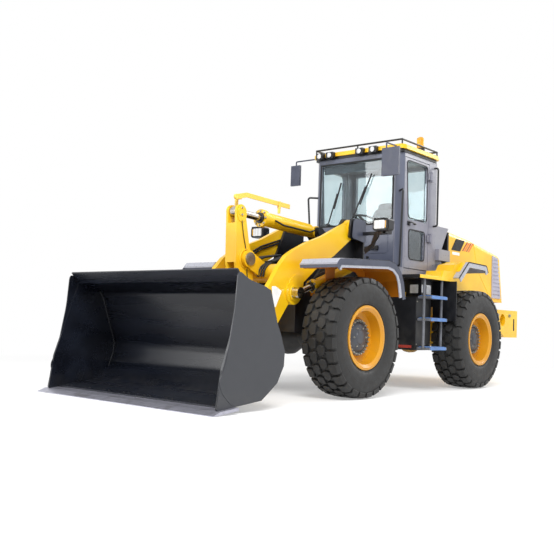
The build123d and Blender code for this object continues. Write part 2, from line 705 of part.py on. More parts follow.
hood_outline = [(hood_front, 1240), (hood_front, 2190), (-3500, 2130), (-4450, 1990), (-4590, 1240)]
with BuildPart() as hood:
    side_plate(hood_outline, -hood_half, hood_half)
    top_edges = hood.edges().filter_by(lambda e: abs(abs(e.center().Y) - hood_half) < 1 and e.center().Z > 1950)
    fillet(top_edges, 90)
    side_plate(
        [(hood_front + 50, 1200), (hood_front + 50, 2165), (-3500, 2105), (-4427, 1968), (-4570, 1200)],
        -hood_half + hood_wall, hood_half - hood_wall, mode=Mode.SUBTRACT,
    )
    for side in (1, -1):
        block((hood_front - 60, hood_hinge[0]), span(side, 385, 415), (2175, 2212))
        cross_bar(hood_hinge, 20, *span(side, 385, 415))
        cross_bar(hood_hinge, hood_pin + pin_fit, *span(side, 380, 420), mode=Mode.SUBTRACT)
finish(hood, "engine_hood")

with BuildPart() as engine:
    block((-4050, -2950), (-330, 330), (1100 + seat_gap, 1800))
finish(engine, "engine_block")

# ---- cab ----
plan = [
    (cab_front, -cab_corner), (cab_front, cab_corner), (cab_front - cab_slant, cab_half), (cab_back, cab_half),
    (cab_back, -cab_half), (cab_front - cab_slant, -cab_half),
]
ceiling = 40
floor_thick = 60
door_line = [
    (door_front, cab_top_z - 60), (door_back, cab_top_z - 60), (door_back, cab_sill_z), (door_front - 28, cab_sill_z),
]
upper_pane = [(-1443, window_z[1]), (-1967, window_z[1]), (-1967, window_z[0]), (-1500, window_z[0])]
lower_pane = [(-1515, 2060), (-1920, 2060), (-1920, 1680), (-1530, 1680)]
screen_half = cab_corner - 38
screen_z = (2130, cab_top_z - 75)
back_half = cab_half - 90
back_z = (2280, cab_top_z - 80)
housing_top = 2205


def side_face(outline, y_low, y_high, grow, mode=Mode.ADD):
    """Plate cut to a side outline grown outwards by a distance."""
    with BuildSketch(side_plane(y_high)) as face:
        with BuildLine():
            Polyline(*[(fwd(x), z) for x, z in outline], close=True)
        make_face()
        if grow:
            offset(amount=grow, kind=Kind.INTERSECTION)
    extrude(face.sketch, amount=y_high - y_low, mode=mode)


with BuildPart() as cab_frame:
    with BuildSketch(Plane.XY.offset(cab_floor_z)) as floor:
        with BuildLine():
            Polyline(*[(fwd(x), y) for x, y in plan], close=True)
        make_face()
    extrude(amount=cab_top_z - cab_floor_z)
    with BuildSketch(Plane.XY.offset(cab_floor_z + floor_thick)) as room:
        with BuildLine():
            Polyline(*[(fwd(x), y) for x, y in plan], close=True)
        make_face()
        offset(amount=-cab_wall, kind=Kind.INTERSECTION)
    extrude(amount=cab_top_z - cab_floor_z - floor_thick - ceiling, mode=Mode.SUBTRACT)
    # door openings, windscreen and rear window
    side_face(door_line, -cab_half - 10, cab_half + 10, door_gap, mode=Mode.SUBTRACT)
    block((cab_front - 60, cab_front + 10), (-screen_half, screen_half), screen_z, mode=Mode.SUBTRACT)
    block((cab_back - 10, cab_back + 60), (-back_half, back_half), back_z, mode=Mode.SUBTRACT)
    # pins and plates of the door hinges
    for side in (1, -1):
        for hinge_z in door_hinge_z:
            for low in (hinge_z - knuckle_half - 22, hinge_z + knuckle_half + 4):
                block((door_back - 55, door_back - 15), span(side, cab_half, door_hinge[1] + 18), (low, low + 18))
            post((door_hinge[0], side * door_hinge[1]), 9, hinge_z - knuckle_half - 22, hinge_z + knuckle_half + 22)
        # box on the side of the rear housing
        block((-2555, -2240), span(side, cab_half - 60, cab_half + 50), (1720, 1872))
    # housing behind the rear wall
    side_plate(
        [(cab_back, cab_floor_z), (-2520, cab_floor_z), (-2520, 1900), (-2700, housing_top), (cab_back, housing_top)],
        -cab_half + 60, cab_half - 60,
    )
finish(cab_frame, "cab_frame")

with BuildPart() as cab_glass:
    block(
        (cab_front - pane_inset - pane, cab_front - pane_inset), (-screen_half + seat_gap, screen_half - seat_gap),
        (screen_z[0] + seat_gap, screen_z[1] - seat_gap),
    )
    block(
        (cab_back + pane_inset, cab_back + pane_inset + pane), (-back_half + seat_gap, back_half - seat_gap),
        (back_z[0] + seat_gap, back_z[1] - seat_gap),
    )
finish(cab_glass, "cab_glass")

for name, side in (("left", 1), ("right", -1)):
    low, high = span(side, cab_half - cab_wall, cab_half)
    with BuildPart() as door:
        side_face(door_line, low, high, 0)
        for opening in (upper_pane, lower_pane):
            side_face(opening, low, high, 0, mode=Mode.SUBTRACT)
        for hinge_z in door_hinge_z:
            block(
                (door_hinge[0], door_back + 40), span(side, cab_half, cab_half + 18),
                (hinge_z - knuckle_half, hinge_z + knuckle_half),
            )
            place = (door_hinge[0], side * door_hinge[1])
            post(place, hinge_radius, hinge_z - knuckle_half, hinge_z + knuckle_half)
            post(place, 9 + pin_fit, hinge_z - knuckle_half, hinge_z + knuckle_half, mode=Mode.SUBTRACT)
    finish(door, f"door_{name}")
    with BuildPart() as door_glass:
        pane_low, pane_high = span(side, cab_half - pane_inset - pane, cab_half - pane_inset)
        for opening in (upper_pane, lower_pane):
            side_face(opening, pane_low, pane_high, -seat_gap)
    finish(door_glass, f"door_glass_{name}")

roof_front = cab_front + 30
roof_back = cab_back - 45
roof_half = cab_half + roof_lip
trim_z = (cab_top_z + seat_gap, cab_top_z + 38)
roof_z = (trim_z[1] + seat_gap, cab_top_z + roof_thick)
with BuildPart() as roof_trim:
    block((cab_front + 8, cab_back - 15), (-cab_half - 12, cab_half + 12), trim_z)
    fillet(roof_trim.edges().filter_by(Axis.Z), 70)
finish(roof_trim, "roof_trim")

with BuildPart() as cab_roof:
    block((roof_front, roof_back), (-roof_half, roof_half), roof_z)
    fillet(cab_roof.edges().filter_by(Axis.Z), 90)
    chamfer(cab_roof.edges().group_by(Axis.Z)[-1], 12)
finish(cab_roof, "cab_roof")

with BuildPart() as seat:
    block((-2050, -1620), (-240, 240), (1860, 1980))
    block((-2160, -2050), (-230, 230), (1860, 2520))
    block((-1960, -1720), (-150, 150), (cab_floor_z + floor_thick + seat_gap, 1860))
finish(seat, "seat")

with BuildPart() as console:
    block((-1500, -1410), (-60, 60), (cab_floor_z + floor_thick + seat_gap, 2100))
    with Locations(Plane(origin=(fwd(-1550), 0, 2190), z_dir=(-0.45, 0, 1))):
        Torus(185, 14)
        Box(360, 36, 14)
        Cylinder(radius=15, height=220, align=(Align.CENTER, Align.CENTER, Align.MAX))
finish(console, "steering_console")

# ---- side boxes, platforms, ladders, rear fenders ----
box_back = -1855
with BuildPart() as side_boxes:
    block((box_back, -1470), (rail_outer + seat_gap, 850), (515, 1190 - seat_gap))
    block((box_back, -1590), (rail_outer + seat_gap, 850), (1190 - seat_gap, platform_z[0] - seat_gap))
    mirror(about=Plane.XZ)
finish(side_boxes, "side_boxes")

with BuildPart() as platforms:
    block((-2230, -1290), (cab_half + seat_gap, platform_out), platform_z)
    mirror(about=Plane.XZ)
finish(platforms, "platforms")

rear_fender_line = [(-2150, 1475), (-2250, 1560), (-2415, 1700), (-2950, 1692), (-3010, 1600)]
rear_fender_out = 1100
with BuildPart() as rear_fenders:
    for inner, depth in ((cab_half + 60, fender_thick), (rear_fender_out - 12, 70)):
        with BuildSketch(side_plane(rear_fender_out)) as face:
            with BuildLine():
                top_line = Polyline(*[(fwd(x), z) for x, z in rear_fender_line])
                offset(top_line, amount=depth, side=Side.LEFT, closed=True)
            make_face()
        extrude(face.sketch, amount=rear_fender_out - inner)
    # wedge beside the cab, standing on the platform
    side_plate(
        [(-1890, platform_z[1] + seat_gap), (-2070, 1545), (-2300, 1590), (-2270, 1540), (-2180, platform_z[1] + seat_gap)],
        cab_half + 60, platform_out,
    )
    mirror(about=Plane.XZ)
finish(rear_fenders, "rear_fenders")

with BuildPart() as mudflaps:
    block((-2100, -2088), (cab_half + 60, 1090), (900, platform_z[0] - seat_gap))
    mirror(about=Plane.XZ)
finish(mudflaps, "mudflaps")

ladder_x = (-1930, -1480)
ladder_y = 960
with BuildPart() as ladders:
    for step_z in (540, 905, 1185):
        block(ladder_x, (ladder_y - 90, ladder_y + 90), (step_z - 15, step_z + 15))
    for x in ladder_x:
        post((x, ladder_y), 17, 525, platform_z[0] - seat_gap)
    # stays to the side box
    for step_z in (540, 1185):
        block((box_back + 40, box_back + 80), (850 + seat_gap, ladder_y - 90), (step_z - 15, step_z + 15))
        block((-1560, -1520), (850 + seat_gap, ladder_y - 90), (step_z - 15, step_z + 15))
    mirror(about=Plane.XZ)
finish(ladders, "ladders")

# ---- rails, mirrors, lamps ----
rail_radius = 13
post_mid = (cab_front - cab_slant / 2, (cab_corner + cab_half) / 2)
post_run = hypot(cab_slant, cab_half - cab_corner)
post_out = ((cab_half - cab_corner) / post_run, cab_slant / post_run)
with BuildPart() as guard_rails:
    for side in (1, -1):
        # ahead of the door, square off the slanted corner post
        tube(
            [(post_mid[0] + out * post_out[0], side * (post_mid[1] + out * post_out[1]), z)
             for out, z in ((seat_gap, 2540), (140, 2540), (70, 1580), (seat_gap, 1580))],
            rail_radius, 30,
        )
        tube(
            [(cab_back + 70, side * (cab_half + seat_gap), 2960), (cab_back + 70, side * (cab_half + 60), 2960),
             (cab_back + 70, side * (cab_half + 60), 2170), (cab_back + 70, side * (cab_half + seat_gap), 2170)],
            rail_radius, 30,
        )
finish(guard_rails, "guard_rails")

roof_top = roof_z[1]
with BuildPart() as roof_rail:
    rail_z = roof_top + 62
    rail_x = (roof_front - 45, roof_back + 45)
    rail_y = roof_half - 45
    with BuildLine() as path:
        Polyline(
            (fwd(rail_x[0]), -rail_y, rail_z), (fwd(rail_x[0]), rail_y, rail_z), (fwd(rail_x[1]), rail_y, rail_z),
            (fwd(rail_x[1]), -rail_y, rail_z), close=True,
        )
    for edge in path.edges():
        with BuildSketch(Plane(origin=edge @ 0, z_dir=edge % 0)) as section:
            Circle(12)
        extrude(section.sketch, amount=edge.length)
    for x in rail_x:
        for y in (-rail_y, 0, rail_y):
            with Locations((fwd(x), y, rail_z)):
                Sphere(12)
            with BuildSketch(Plane.XY.offset(roof_top + seat_gap)) as section:
                with Locations((fwd(x), y)):
                    Circle(10)
            extrude(section.sketch, amount=rail_z - roof_top)
finish(roof_rail, "roof_rail")

arm_z = (roof_z[0] + roof_z[1]) / 2
with BuildPart() as mirrors:
    block((-1065, -1030), (565, 811), (2680, 3035))
    tube([(-1048, 620, 3035), (-1048, 620, arm_z), (roof_front + seat_gap, 620, arm_z)], 10, 15)
    block((-1415, -1380), (-1190, -1030), (2760, 3050))
    tube([(-1400, -1110, 3050), (-1400, -1110, arm_z), (-1400, -roof_half - seat_gap, arm_z)], 10, 15)
finish(mirrors, "mirrors")

with BuildPart() as work_lamps:
    for y in (-560, -390, 90, 300):
        block((roof_front + seat_gap, roof_front + 60), (y - 58, y + 58), (roof_z[0] - 30, roof_top - 4))
    for y in (-560, -390, 390, 560):
        block((roof_back - 60, roof_back - seat_gap), (y - 55, y + 55), (roof_z[0] - 30, roof_top - 4))
finish(work_lamps, "work_lamps")

with BuildPart() as beacon:
    for radius, low, high in ((18, 0, 90), (62, 90, 130), (50, 130, 290)):
        with Locations((fwd(-2180), 450, roof_top + seat_gap + low)):
            Cylinder(radius=radius, height=high - low, align=(Align.CENTER, Align.CENTER, Align.MIN))
    chamfer(beacon.edges().group_by(Axis.Z)[-1], 18)
finish(beacon, "beacon")

with BuildPart() as grilles:
    for side in (1, -1):
        side_plate(
            [(-4200, 1300), (-4200, 1960), (-4400, 1930), (-4520, 1300)],
            *span(side, hood_half + seat_gap, hood_half + 12),
        )
        for number in range(10):
            block((-4470, -4220), span(side, hood_half + 4, hood_half + 20), (1340 + 60 * number, 1365 + 60 * number), mode=Mode.SUBTRACT)
finish(grilles, "hood_grilles")
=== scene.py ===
"""Looks of an articulated wheel loader: a finish for every CAD node, and the small fittings beside the nodes.

Metres, +X forward, +Y the machine's left, +Z up. Places are typed in millimetres as (ahead of the front axle,
to the left, above the ground), and at() turns them into the frame.
"""
import contextlib
import functools
import math

import bmesh
import bpy
from bpy.props import FloatProperty, FloatVectorProperty, IntProperty, PointerProperty
from mathutils import Matrix, Vector


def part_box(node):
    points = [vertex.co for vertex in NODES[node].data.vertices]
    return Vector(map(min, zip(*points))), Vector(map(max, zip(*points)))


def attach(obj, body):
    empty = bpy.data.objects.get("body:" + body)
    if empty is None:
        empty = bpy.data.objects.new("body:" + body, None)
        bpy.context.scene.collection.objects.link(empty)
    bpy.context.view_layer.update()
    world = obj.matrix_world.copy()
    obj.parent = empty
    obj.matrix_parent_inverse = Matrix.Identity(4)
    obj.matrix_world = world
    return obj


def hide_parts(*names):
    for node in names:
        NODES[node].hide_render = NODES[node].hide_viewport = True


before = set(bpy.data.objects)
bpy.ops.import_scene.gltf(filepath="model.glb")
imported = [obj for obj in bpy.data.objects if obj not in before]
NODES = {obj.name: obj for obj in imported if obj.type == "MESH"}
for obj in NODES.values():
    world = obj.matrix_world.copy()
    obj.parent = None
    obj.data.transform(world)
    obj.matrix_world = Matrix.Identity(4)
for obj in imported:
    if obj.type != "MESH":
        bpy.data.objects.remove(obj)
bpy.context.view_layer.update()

bl_info = {
    "name": "Wheel Loader Looks",
    "version": (1, 0, 0),
    "blender": (4, 5, 0),
    "location": "3D View > Sidebar > Loader",
    "description": "Finishes and fittings of an articulated wheel loader",
    "category": "Object",
}

CORNERS = ("front_left", "front_right", "rear_left", "rear_right")
SIDES = (("left", 1), ("right", -1))
AXLE = {corner: sum(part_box(f"tyre_{corner}"), Vector()) / 2 for corner in CORNERS}
AXLE_X = AXLE["front_left"].x


def at(ahead, left, up):
    """Place in metres from millimetres ahead of the front axle, to the left and above the ground."""
    return Vector((AXLE_X + ahead / 1000, left / 1000, up / 1000))


def box_mm_of(node):
    """Low and high corner of a node's box in millimetres, counted as at() counts them."""
    axle = Vector((AXLE_X, 0, 0))
    return [(corner - axle) * 1000 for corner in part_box(node)]


def linear(code):
    """Linear colour with alpha from an sRGB hex value."""
    parts = [int(code[i:i + 2], 16) / 255 for i in (1, 3, 5)]
    return [p / 12.92 if p <= 0.04045 else ((p + 0.055) / 1.055) ** 2.4 for p in parts] + [1.0]


# ---------------------------------------------------------------- settings
def colour_property(name, description, code):
    """Colour setting with an sRGB hex default."""
    return FloatVectorProperty(
        name=name, description=description, subtype="COLOR", size=4, min=0, max=1, default=linear(code)
    )


class LoaderColours(bpy.types.PropertyGroup):
    """Colours a user would change."""
    body: colour_property("Body", "Enamel of the boom, frames and hood", "#EFC014")
    cab: colour_property("Cab", "Enamel of the cab's frame and doors", "#8A8B95")
    panels: colour_property("Front panels", "Enamel of the cab's lower front", "#565B6C")
    bucket: colour_property("Bucket", "Paint of the bucket", "#0D1018")
    dark: colour_property("Dark parts", "Powder coat of rails, steps and boxes", "#101115")
    rubber: colour_property("Rubber", "Tread and sidewalls of the tyres", "#1B1C1D")


class LoaderSizes(bpy.types.PropertyGroup):
    """Sizes a user would change."""
    lug_count: IntProperty(
        name="Lugs", description="Lugs in each row round a tyre", default=28, min=12, max=40
    )
    lug_height: FloatProperty(
        name="Lug height", description="Depth of the tread", default=0.026, min=0.005, max=0.05, unit="LENGTH"
    )
    hub_bolts: IntProperty(
        name="Hub bolts", description="Bolts round each hub", default=24, min=6, max=32
    )
    edge_bolts: IntProperty(
        name="Edge bolts", description="Pairs of bolts on the bucket's edge", default=8, min=3, max=12
    )


# ---------------------------------------------------------------- materials
# Scale=1000 / size makes a pattern about size millimetres across
def add_node(tree, kind, settings=None, **inputs):
    """Adds a node with its settings; inputs go by name, or by number as i0, i6 and so on."""
    node = tree.nodes.new(kind)
    for key, value in (settings or {}).items():
        setattr(node, key, value)
    for key, value in inputs.items():
        numbered = key[0] == "i" and key[1:].isdigit()
        socket = node.inputs[int(key[1:])] if numbered else node.inputs[key.replace("_", " ")]
        if isinstance(value, bpy.types.NodeSocket):
            tree.links.new(value, socket)
        else:
            socket.default_value = value
    return node


SMOOTH = {"interpolation_type": "SMOOTHSTEP"}
COLOUR = {"data_type": "RGBA"}
TIMES = {"operation": "MULTIPLY"}
TIMES_PLUS = {"operation": "MULTIPLY_ADD"}


def new_material(name, **constants):
    """Material with constants on its shader's sockets, its node adder, and the place on the object."""
    material = bpy.data.materials.new(name)
    material.use_nodes = True
    shader = material.node_tree.nodes["Principled BSDF"]
    for key, value in constants.items():
        shader.inputs[key.replace("_", " ")].default_value = value
    node = functools.partial(add_node, material.node_tree)
    return material, node, node("ShaderNodeTexCoord").outputs["Object"]


def link(material, **outputs):
    """Links values into the material's shader by the names of its sockets."""
    shader = material.node_tree.nodes["Principled BSDF"]
    for key, value in outputs.items():
        material.node_tree.links.new(value, shader.inputs[key.replace("_", " ")])


def mottled(node, pattern, colour, other, low, high):
    """Colour that turns to another one where a pattern rises from low to high."""
    share = node("ShaderNodeMapRange", SMOOTH, i0=pattern, i1=low, i2=high).outputs[0]
    return node("ShaderNodeMix", COLOUR, i0=share, i6=colour, i7=other).outputs[2]


def dusted(node, place, colour, top_mm, amount):
    """Colour with a film of road dust that thins out towards a height, and the dust's share."""
    height = node("ShaderNodeSeparateXYZ", Vector=place).outputs["Z"]
    cloud = node("ShaderNodeTexNoise", Vector=place, Scale=1000 / 90, Detail=3.0).outputs["Fac"]
    patch = node("ShaderNodeMapRange", SMOOTH, i0=cloud, i1=0.3, i2=0.7).outputs[0]
    low = node(
        "ShaderNodeMapRange", SMOOTH, i0=height, i1=0.1, i2=top_mm / 1000, i3=amount, i4=0.0
    ).outputs[0]
    share = node("ShaderNodeMath", TIMES, i0=low, i1=patch).outputs[0]
    return node("ShaderNodeMix", COLOUR, i0=share, i6=colour, i7=linear("#8A8272")).outputs[2], share


def enamel(name, colour, deeper, roughness, dust_top=900, dust_amount=0.12, coat=0.2):
    """Two-pack enamel sprayed over plate: even colour, soft gloss, orange peel and dust low down."""
    material, node, place = new_material(name, Metallic=0.0, IOR=1.5, Coat_Weight=coat, Coat_Roughness=0.1)
    # the spray coat's tone drifts over about half a metre
    drift = node("ShaderNodeTexNoise", Vector=place, Scale=1000 / 450, Detail=2.0).outputs["Fac"]
    tone = mottled(node, drift, colour, deeper, 0.35, 0.7)
    tone, dust = dusted(node, place, tone, dust_top, dust_amount)
    film = node("ShaderNodeTexNoise", Vector=place, Scale=1000 / 35, Detail=3.0).outputs["Fac"]
    gloss = node(
        "ShaderNodeMapRange", SMOOTH, i0=film, i1=0.3, i2=0.7, i3=roughness - 0.05, i4=roughness + 0.07
    ).outputs[0]
    dull = node("ShaderNodeMath", TIMES_PLUS, i0=dust, i1=0.5, i2=gloss).outputs[0]
    # orange peel is 2 mm across on the real paint and is drawn at 7 mm so that it shows
    peel = node("ShaderNodeTexNoise", Vector=place, Scale=1000 / 7, Detail=1.0).outputs["Fac"]
    relief = node("ShaderNodeBump", Height=peel, Distance=0.00012, Strength=0.5).outputs[0]
    link(material, Base_Color=tone, Roughness=dull, Normal=relief)
    return material


def bucket_paint(inside, lit_side_colour):
    """Charcoal enamel on rolled plate: near black and satin inside, a lighter slate on the outer sides as
    painted light, scuffed.
    """
    material, node, place = new_material("charcoal enamel sprayed on rolled plate", Metallic=0.0, IOR=1.5)
    reach = node("ShaderNodeSeparateXYZ", Vector=place).outputs
    across = node("ShaderNodeMath", {"operation": "ABSOLUTE"}, i0=reach["Y"]).outputs[0]
    # only the outer faces of the side plates lie this far out
    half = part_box("bucket")[1].y
    outer = node("ShaderNodeMapRange", i0=across, i1=half - 0.0012, i2=half - 0.0006).outputs[0]
    # rolling marks run across the shell, so the noise is drawn out about eight times along them
    drawn = node("ShaderNodeMapping", Vector=place, Scale=(1.0, 0.12, 1.0)).outputs[0]
    cloud = node("ShaderNodeTexNoise", Vector=drawn, Scale=1000 / 260, Detail=3.0).outputs["Fac"]
    inner = mottled(node, cloud, inside, linear("#171B25"), 0.35, 0.7)
    # the outer side faces take the lighter slate: painted light on the side plates' outer faces
    tone = node("ShaderNodeMix", COLOUR, i0=outer, i6=inner, i7=lit_side_colour).outputs[2]
    tone, dust = dusted(node, place, tone, 260, 0.03)
    grit = node(
        "ShaderNodeTexNoise", Vector=drawn, Scale=1000 / 24, Detail=5.0, Roughness=0.7
    ).outputs["Fac"]
    scuff = node("ShaderNodeMapRange", SMOOTH, i0=grit, i1=0.66, i2=0.78, i3=0.0, i4=0.06).outputs[0]
    tone = node("ShaderNodeMix", COLOUR, i0=scuff, i6=tone, i7=linear("#6A6C70")).outputs[2]
    film = node("ShaderNodeTexNoise", Vector=drawn, Scale=1000 / 120, Detail=3.0).outputs["Fac"]
    gloss = node("ShaderNodeMapRange", SMOOTH, i0=film, i1=0.3, i2=0.75, i3=0.24, i4=0.36).outputs[0]
    dull = node("ShaderNodeMath", TIMES_PLUS, i0=outer, i1=0.14, i2=gloss).outputs[0]
    dull = node("ShaderNodeMath", TIMES_PLUS, i0=dust, i1=0.4, i2=dull).outputs[0]
    wave = node("ShaderNodeTexNoise", Vector=drawn, Scale=1000 / 60, Detail=2.0).outputs["Fac"]
    relief = node("ShaderNodeBump", Height=wave, Distance=0.0005, Strength=0.4).outputs[0]
    link(material, Base_Color=tone, Roughness=dull, Normal=relief)
    return material


def rubber(colour):
    """Black-filled tyre rubber, moulded: matt, a shade browner where dust has settled."""
    material, node, place = new_material("carbon-filled rubber, moulded", Metallic=0.0, IOR=1.5)
    grain = node(
        "ShaderNodeTexNoise", Vector=place, Scale=1000 / 70, Detail=4.0, Roughness=0.6
    ).outputs["Fac"]
    tone = mottled(node, grain, colour, linear("#242322"), 0.35, 0.65)
    speck = node("ShaderNodeTexNoise", Vector=place, Scale=1000 / 12, Detail=4.0).outputs["Fac"]
    dusty = node("ShaderNodeMapRange", SMOOTH, i0=speck, i1=0.52, i2=0.74, i3=0.0, i4=0.22).outputs[0]
    tone = node("ShaderNodeMix", COLOUR, i0=dusty, i6=tone, i7=linear("#3F3C38")).outputs[2]
    gloss = node("ShaderNodeMapRange", SMOOTH, i0=grain, i1=0.3, i2=0.7, i3=0.5, i4=0.72).outputs[0]
    skin = node("ShaderNodeTexNoise", Vector=place, Scale=1000 / 9, Detail=4.0).outputs["Fac"]
    relief = node("ShaderNodeBump", Height=skin, Distance=0.0006, Strength=0.6).outputs[0]
    link(material, Base_Color=tone, Roughness=gloss, Normal=relief)
    return material


def powder_coat(name, colour, roughness=0.42, dust_amount=0.12, metallic=0.0):
    """Polyester powder coat baked on steel: fine even texture, lightly dusted."""
    material, node, place = new_material(name, Metallic=metallic, IOR=1.5)
    lighter = [min(1.0, c * 1.4 + 0.003) for c in colour[:3]] + [1.0]
    cloud = node("ShaderNodeTexNoise", Vector=place, Scale=1000 / 180, Detail=3.0).outputs["Fac"]
    tone = mottled(node, cloud, colour, lighter, 0.35, 0.7)
    tone, dust = dusted(node, place, tone, 1100, dust_amount)
    dull = node("ShaderNodeMath", TIMES_PLUS, i0=dust, i1=0.4, i2=roughness).outputs[0]
    # the powder's texture is 1 mm across and is drawn at 5 mm so that it shows
    grain = node("ShaderNodeTexNoise", Vector=place, Scale=1000 / 5, Detail=2.0).outputs["Fac"]
    relief = node("ShaderNodeBump", Height=grain, Distance=0.00015, Strength=0.5).outputs[0]
    link(material, Base_Color=tone, Roughness=dull, Normal=relief)
    return material


def bare_steel(name, code, roughness, stroke_mm=4.0):
    """Cut or worn steel: brushed across the machine, with brown tarnish in patches."""
    material, node, place = new_material(name, Metallic=0.9)
    brushed = node("ShaderNodeMapping", Vector=place, Scale=(1.0, 0.08, 1.0)).outputs[0]
    strokes = node(
        "ShaderNodeTexNoise", Vector=brushed, Scale=1000 / stroke_mm, Detail=4.0, Roughness=0.6
    ).outputs["Fac"]
    cloud = node("ShaderNodeTexNoise", Vector=place, Scale=1000 / 120, Detail=4.0).outputs["Fac"]
    tarnish = node("ShaderNodeMapRange", SMOOTH, i0=cloud, i1=0.5, i2=0.75, i3=0.0, i4=0.4).outputs[0]
    tone = node("ShaderNodeMix", COLOUR, i0=tarnish, i6=linear(code), i7=linear("#5E5650")).outputs[2]
    gloss = node(
        "ShaderNodeMapRange", SMOOTH, i0=strokes, i1=0.3, i2=0.7, i3=roughness - 0.08, i4=roughness + 0.12
    ).outputs[0]
    relief = node("ShaderNodeBump", Height=strokes, Distance=0.0002, Strength=0.4).outputs[0]
    link(material, Base_Color=tone, Roughness=gloss, Normal=relief)
    return material


def hard_chrome():
    """Hard chrome ground on a piston rod: mirror-like, with a film of oil."""
    material, node, place = new_material("hard chrome ground on steel", Metallic=1.0)
    film = node("ShaderNodeTexNoise", Vector=place, Scale=1000 / 60, Detail=3.0).outputs["Fac"]
    tone = mottled(node, film, linear("#C9C4BC"), linear("#A3958A"), 0.4, 0.7)
    gloss = node("ShaderNodeMapRange", SMOOTH, i0=film, i1=0.35, i2=0.7, i3=0.1, i4=0.26).outputs[0]
    link(material, Base_Color=tone, Roughness=gloss)
    return material


def tinted_glass():
    """Toughened float glass with a blue-green tint: clear and glossy, with wiper haze."""
    material, node, place = new_material(
        "toughened float glass, tinted", Metallic=0.0, IOR=1.5, Transmission_Weight=1.0
    )
    haze = node("ShaderNodeTexNoise", Vector=place, Scale=1000 / 220, Detail=3.0).outputs["Fac"]
    tone = mottled(node, haze, linear("#E3EEF0"), linear("#D8E6EA"), 0.3, 0.8)
    gloss = node("ShaderNodeMapRange", SMOOTH, i0=haze, i1=0.5, i2=0.8, i3=0.0, i4=0.05).outputs[0]
    link(material, Base_Color=tone, Roughness=gloss)
    return material


def moulded(name, code, roughness=0.5, grain_mm=3.0, **constants):
    """Moulded or extruded plastic, vinyl or rubber with a fine leather grain."""
    material, node, place = new_material(name, **{"Metallic": 0.0, "IOR": 1.46, **constants})
    colour = linear(code)
    lighter = [min(1.0, c * 1.2 + 0.002) for c in colour[:3]] + [1.0]
    cloud = node("ShaderNodeTexNoise", Vector=place, Scale=1000 / 80, Detail=3.0).outputs["Fac"]
    tone = mottled(node, cloud, colour, lighter, 0.35, 0.7)
    gloss = node(
        "ShaderNodeMapRange", SMOOTH, i0=cloud, i1=0.3, i2=0.7, i3=roughness - 0.05, i4=roughness + 0.08
    ).outputs[0]
    grain = node("ShaderNodeTexNoise", Vector=place, Scale=1000 / grain_mm, Detail=3.0).outputs["Fac"]
    relief = node("ShaderNodeBump", Height=grain, Distance=0.0001, Strength=0.5).outputs[0]
    link(material, Base_Color=tone, Roughness=gloss, Normal=relief)
    return material


def lens(name, code, roughness, transmission=0.5):
    """Moulded polycarbonate lens with flutes 8 mm apart."""
    material, node, place = new_material(
        name, Metallic=0.0, IOR=1.58, Transmission_Weight=transmission, Roughness=roughness
    )
    # one wave per turn of the texture's own 20 units
    flutes = node(
        "ShaderNodeTexWave", {"bands_direction": "Y"}, Vector=place, Scale=1000 / 8 / 20
    ).outputs["Fac"]
    colour = linear(code)
    deeper = [c * 0.8 for c in colour[:3]] + [1.0]
    tone = node("ShaderNodeMix", COLOUR, i0=flutes, i6=colour, i7=deeper).outputs[2]
    relief = node("ShaderNodeBump", Height=flutes, Distance=0.0004, Strength=0.5).outputs[0]
    link(material, Base_Color=tone, Normal=relief)
    return material


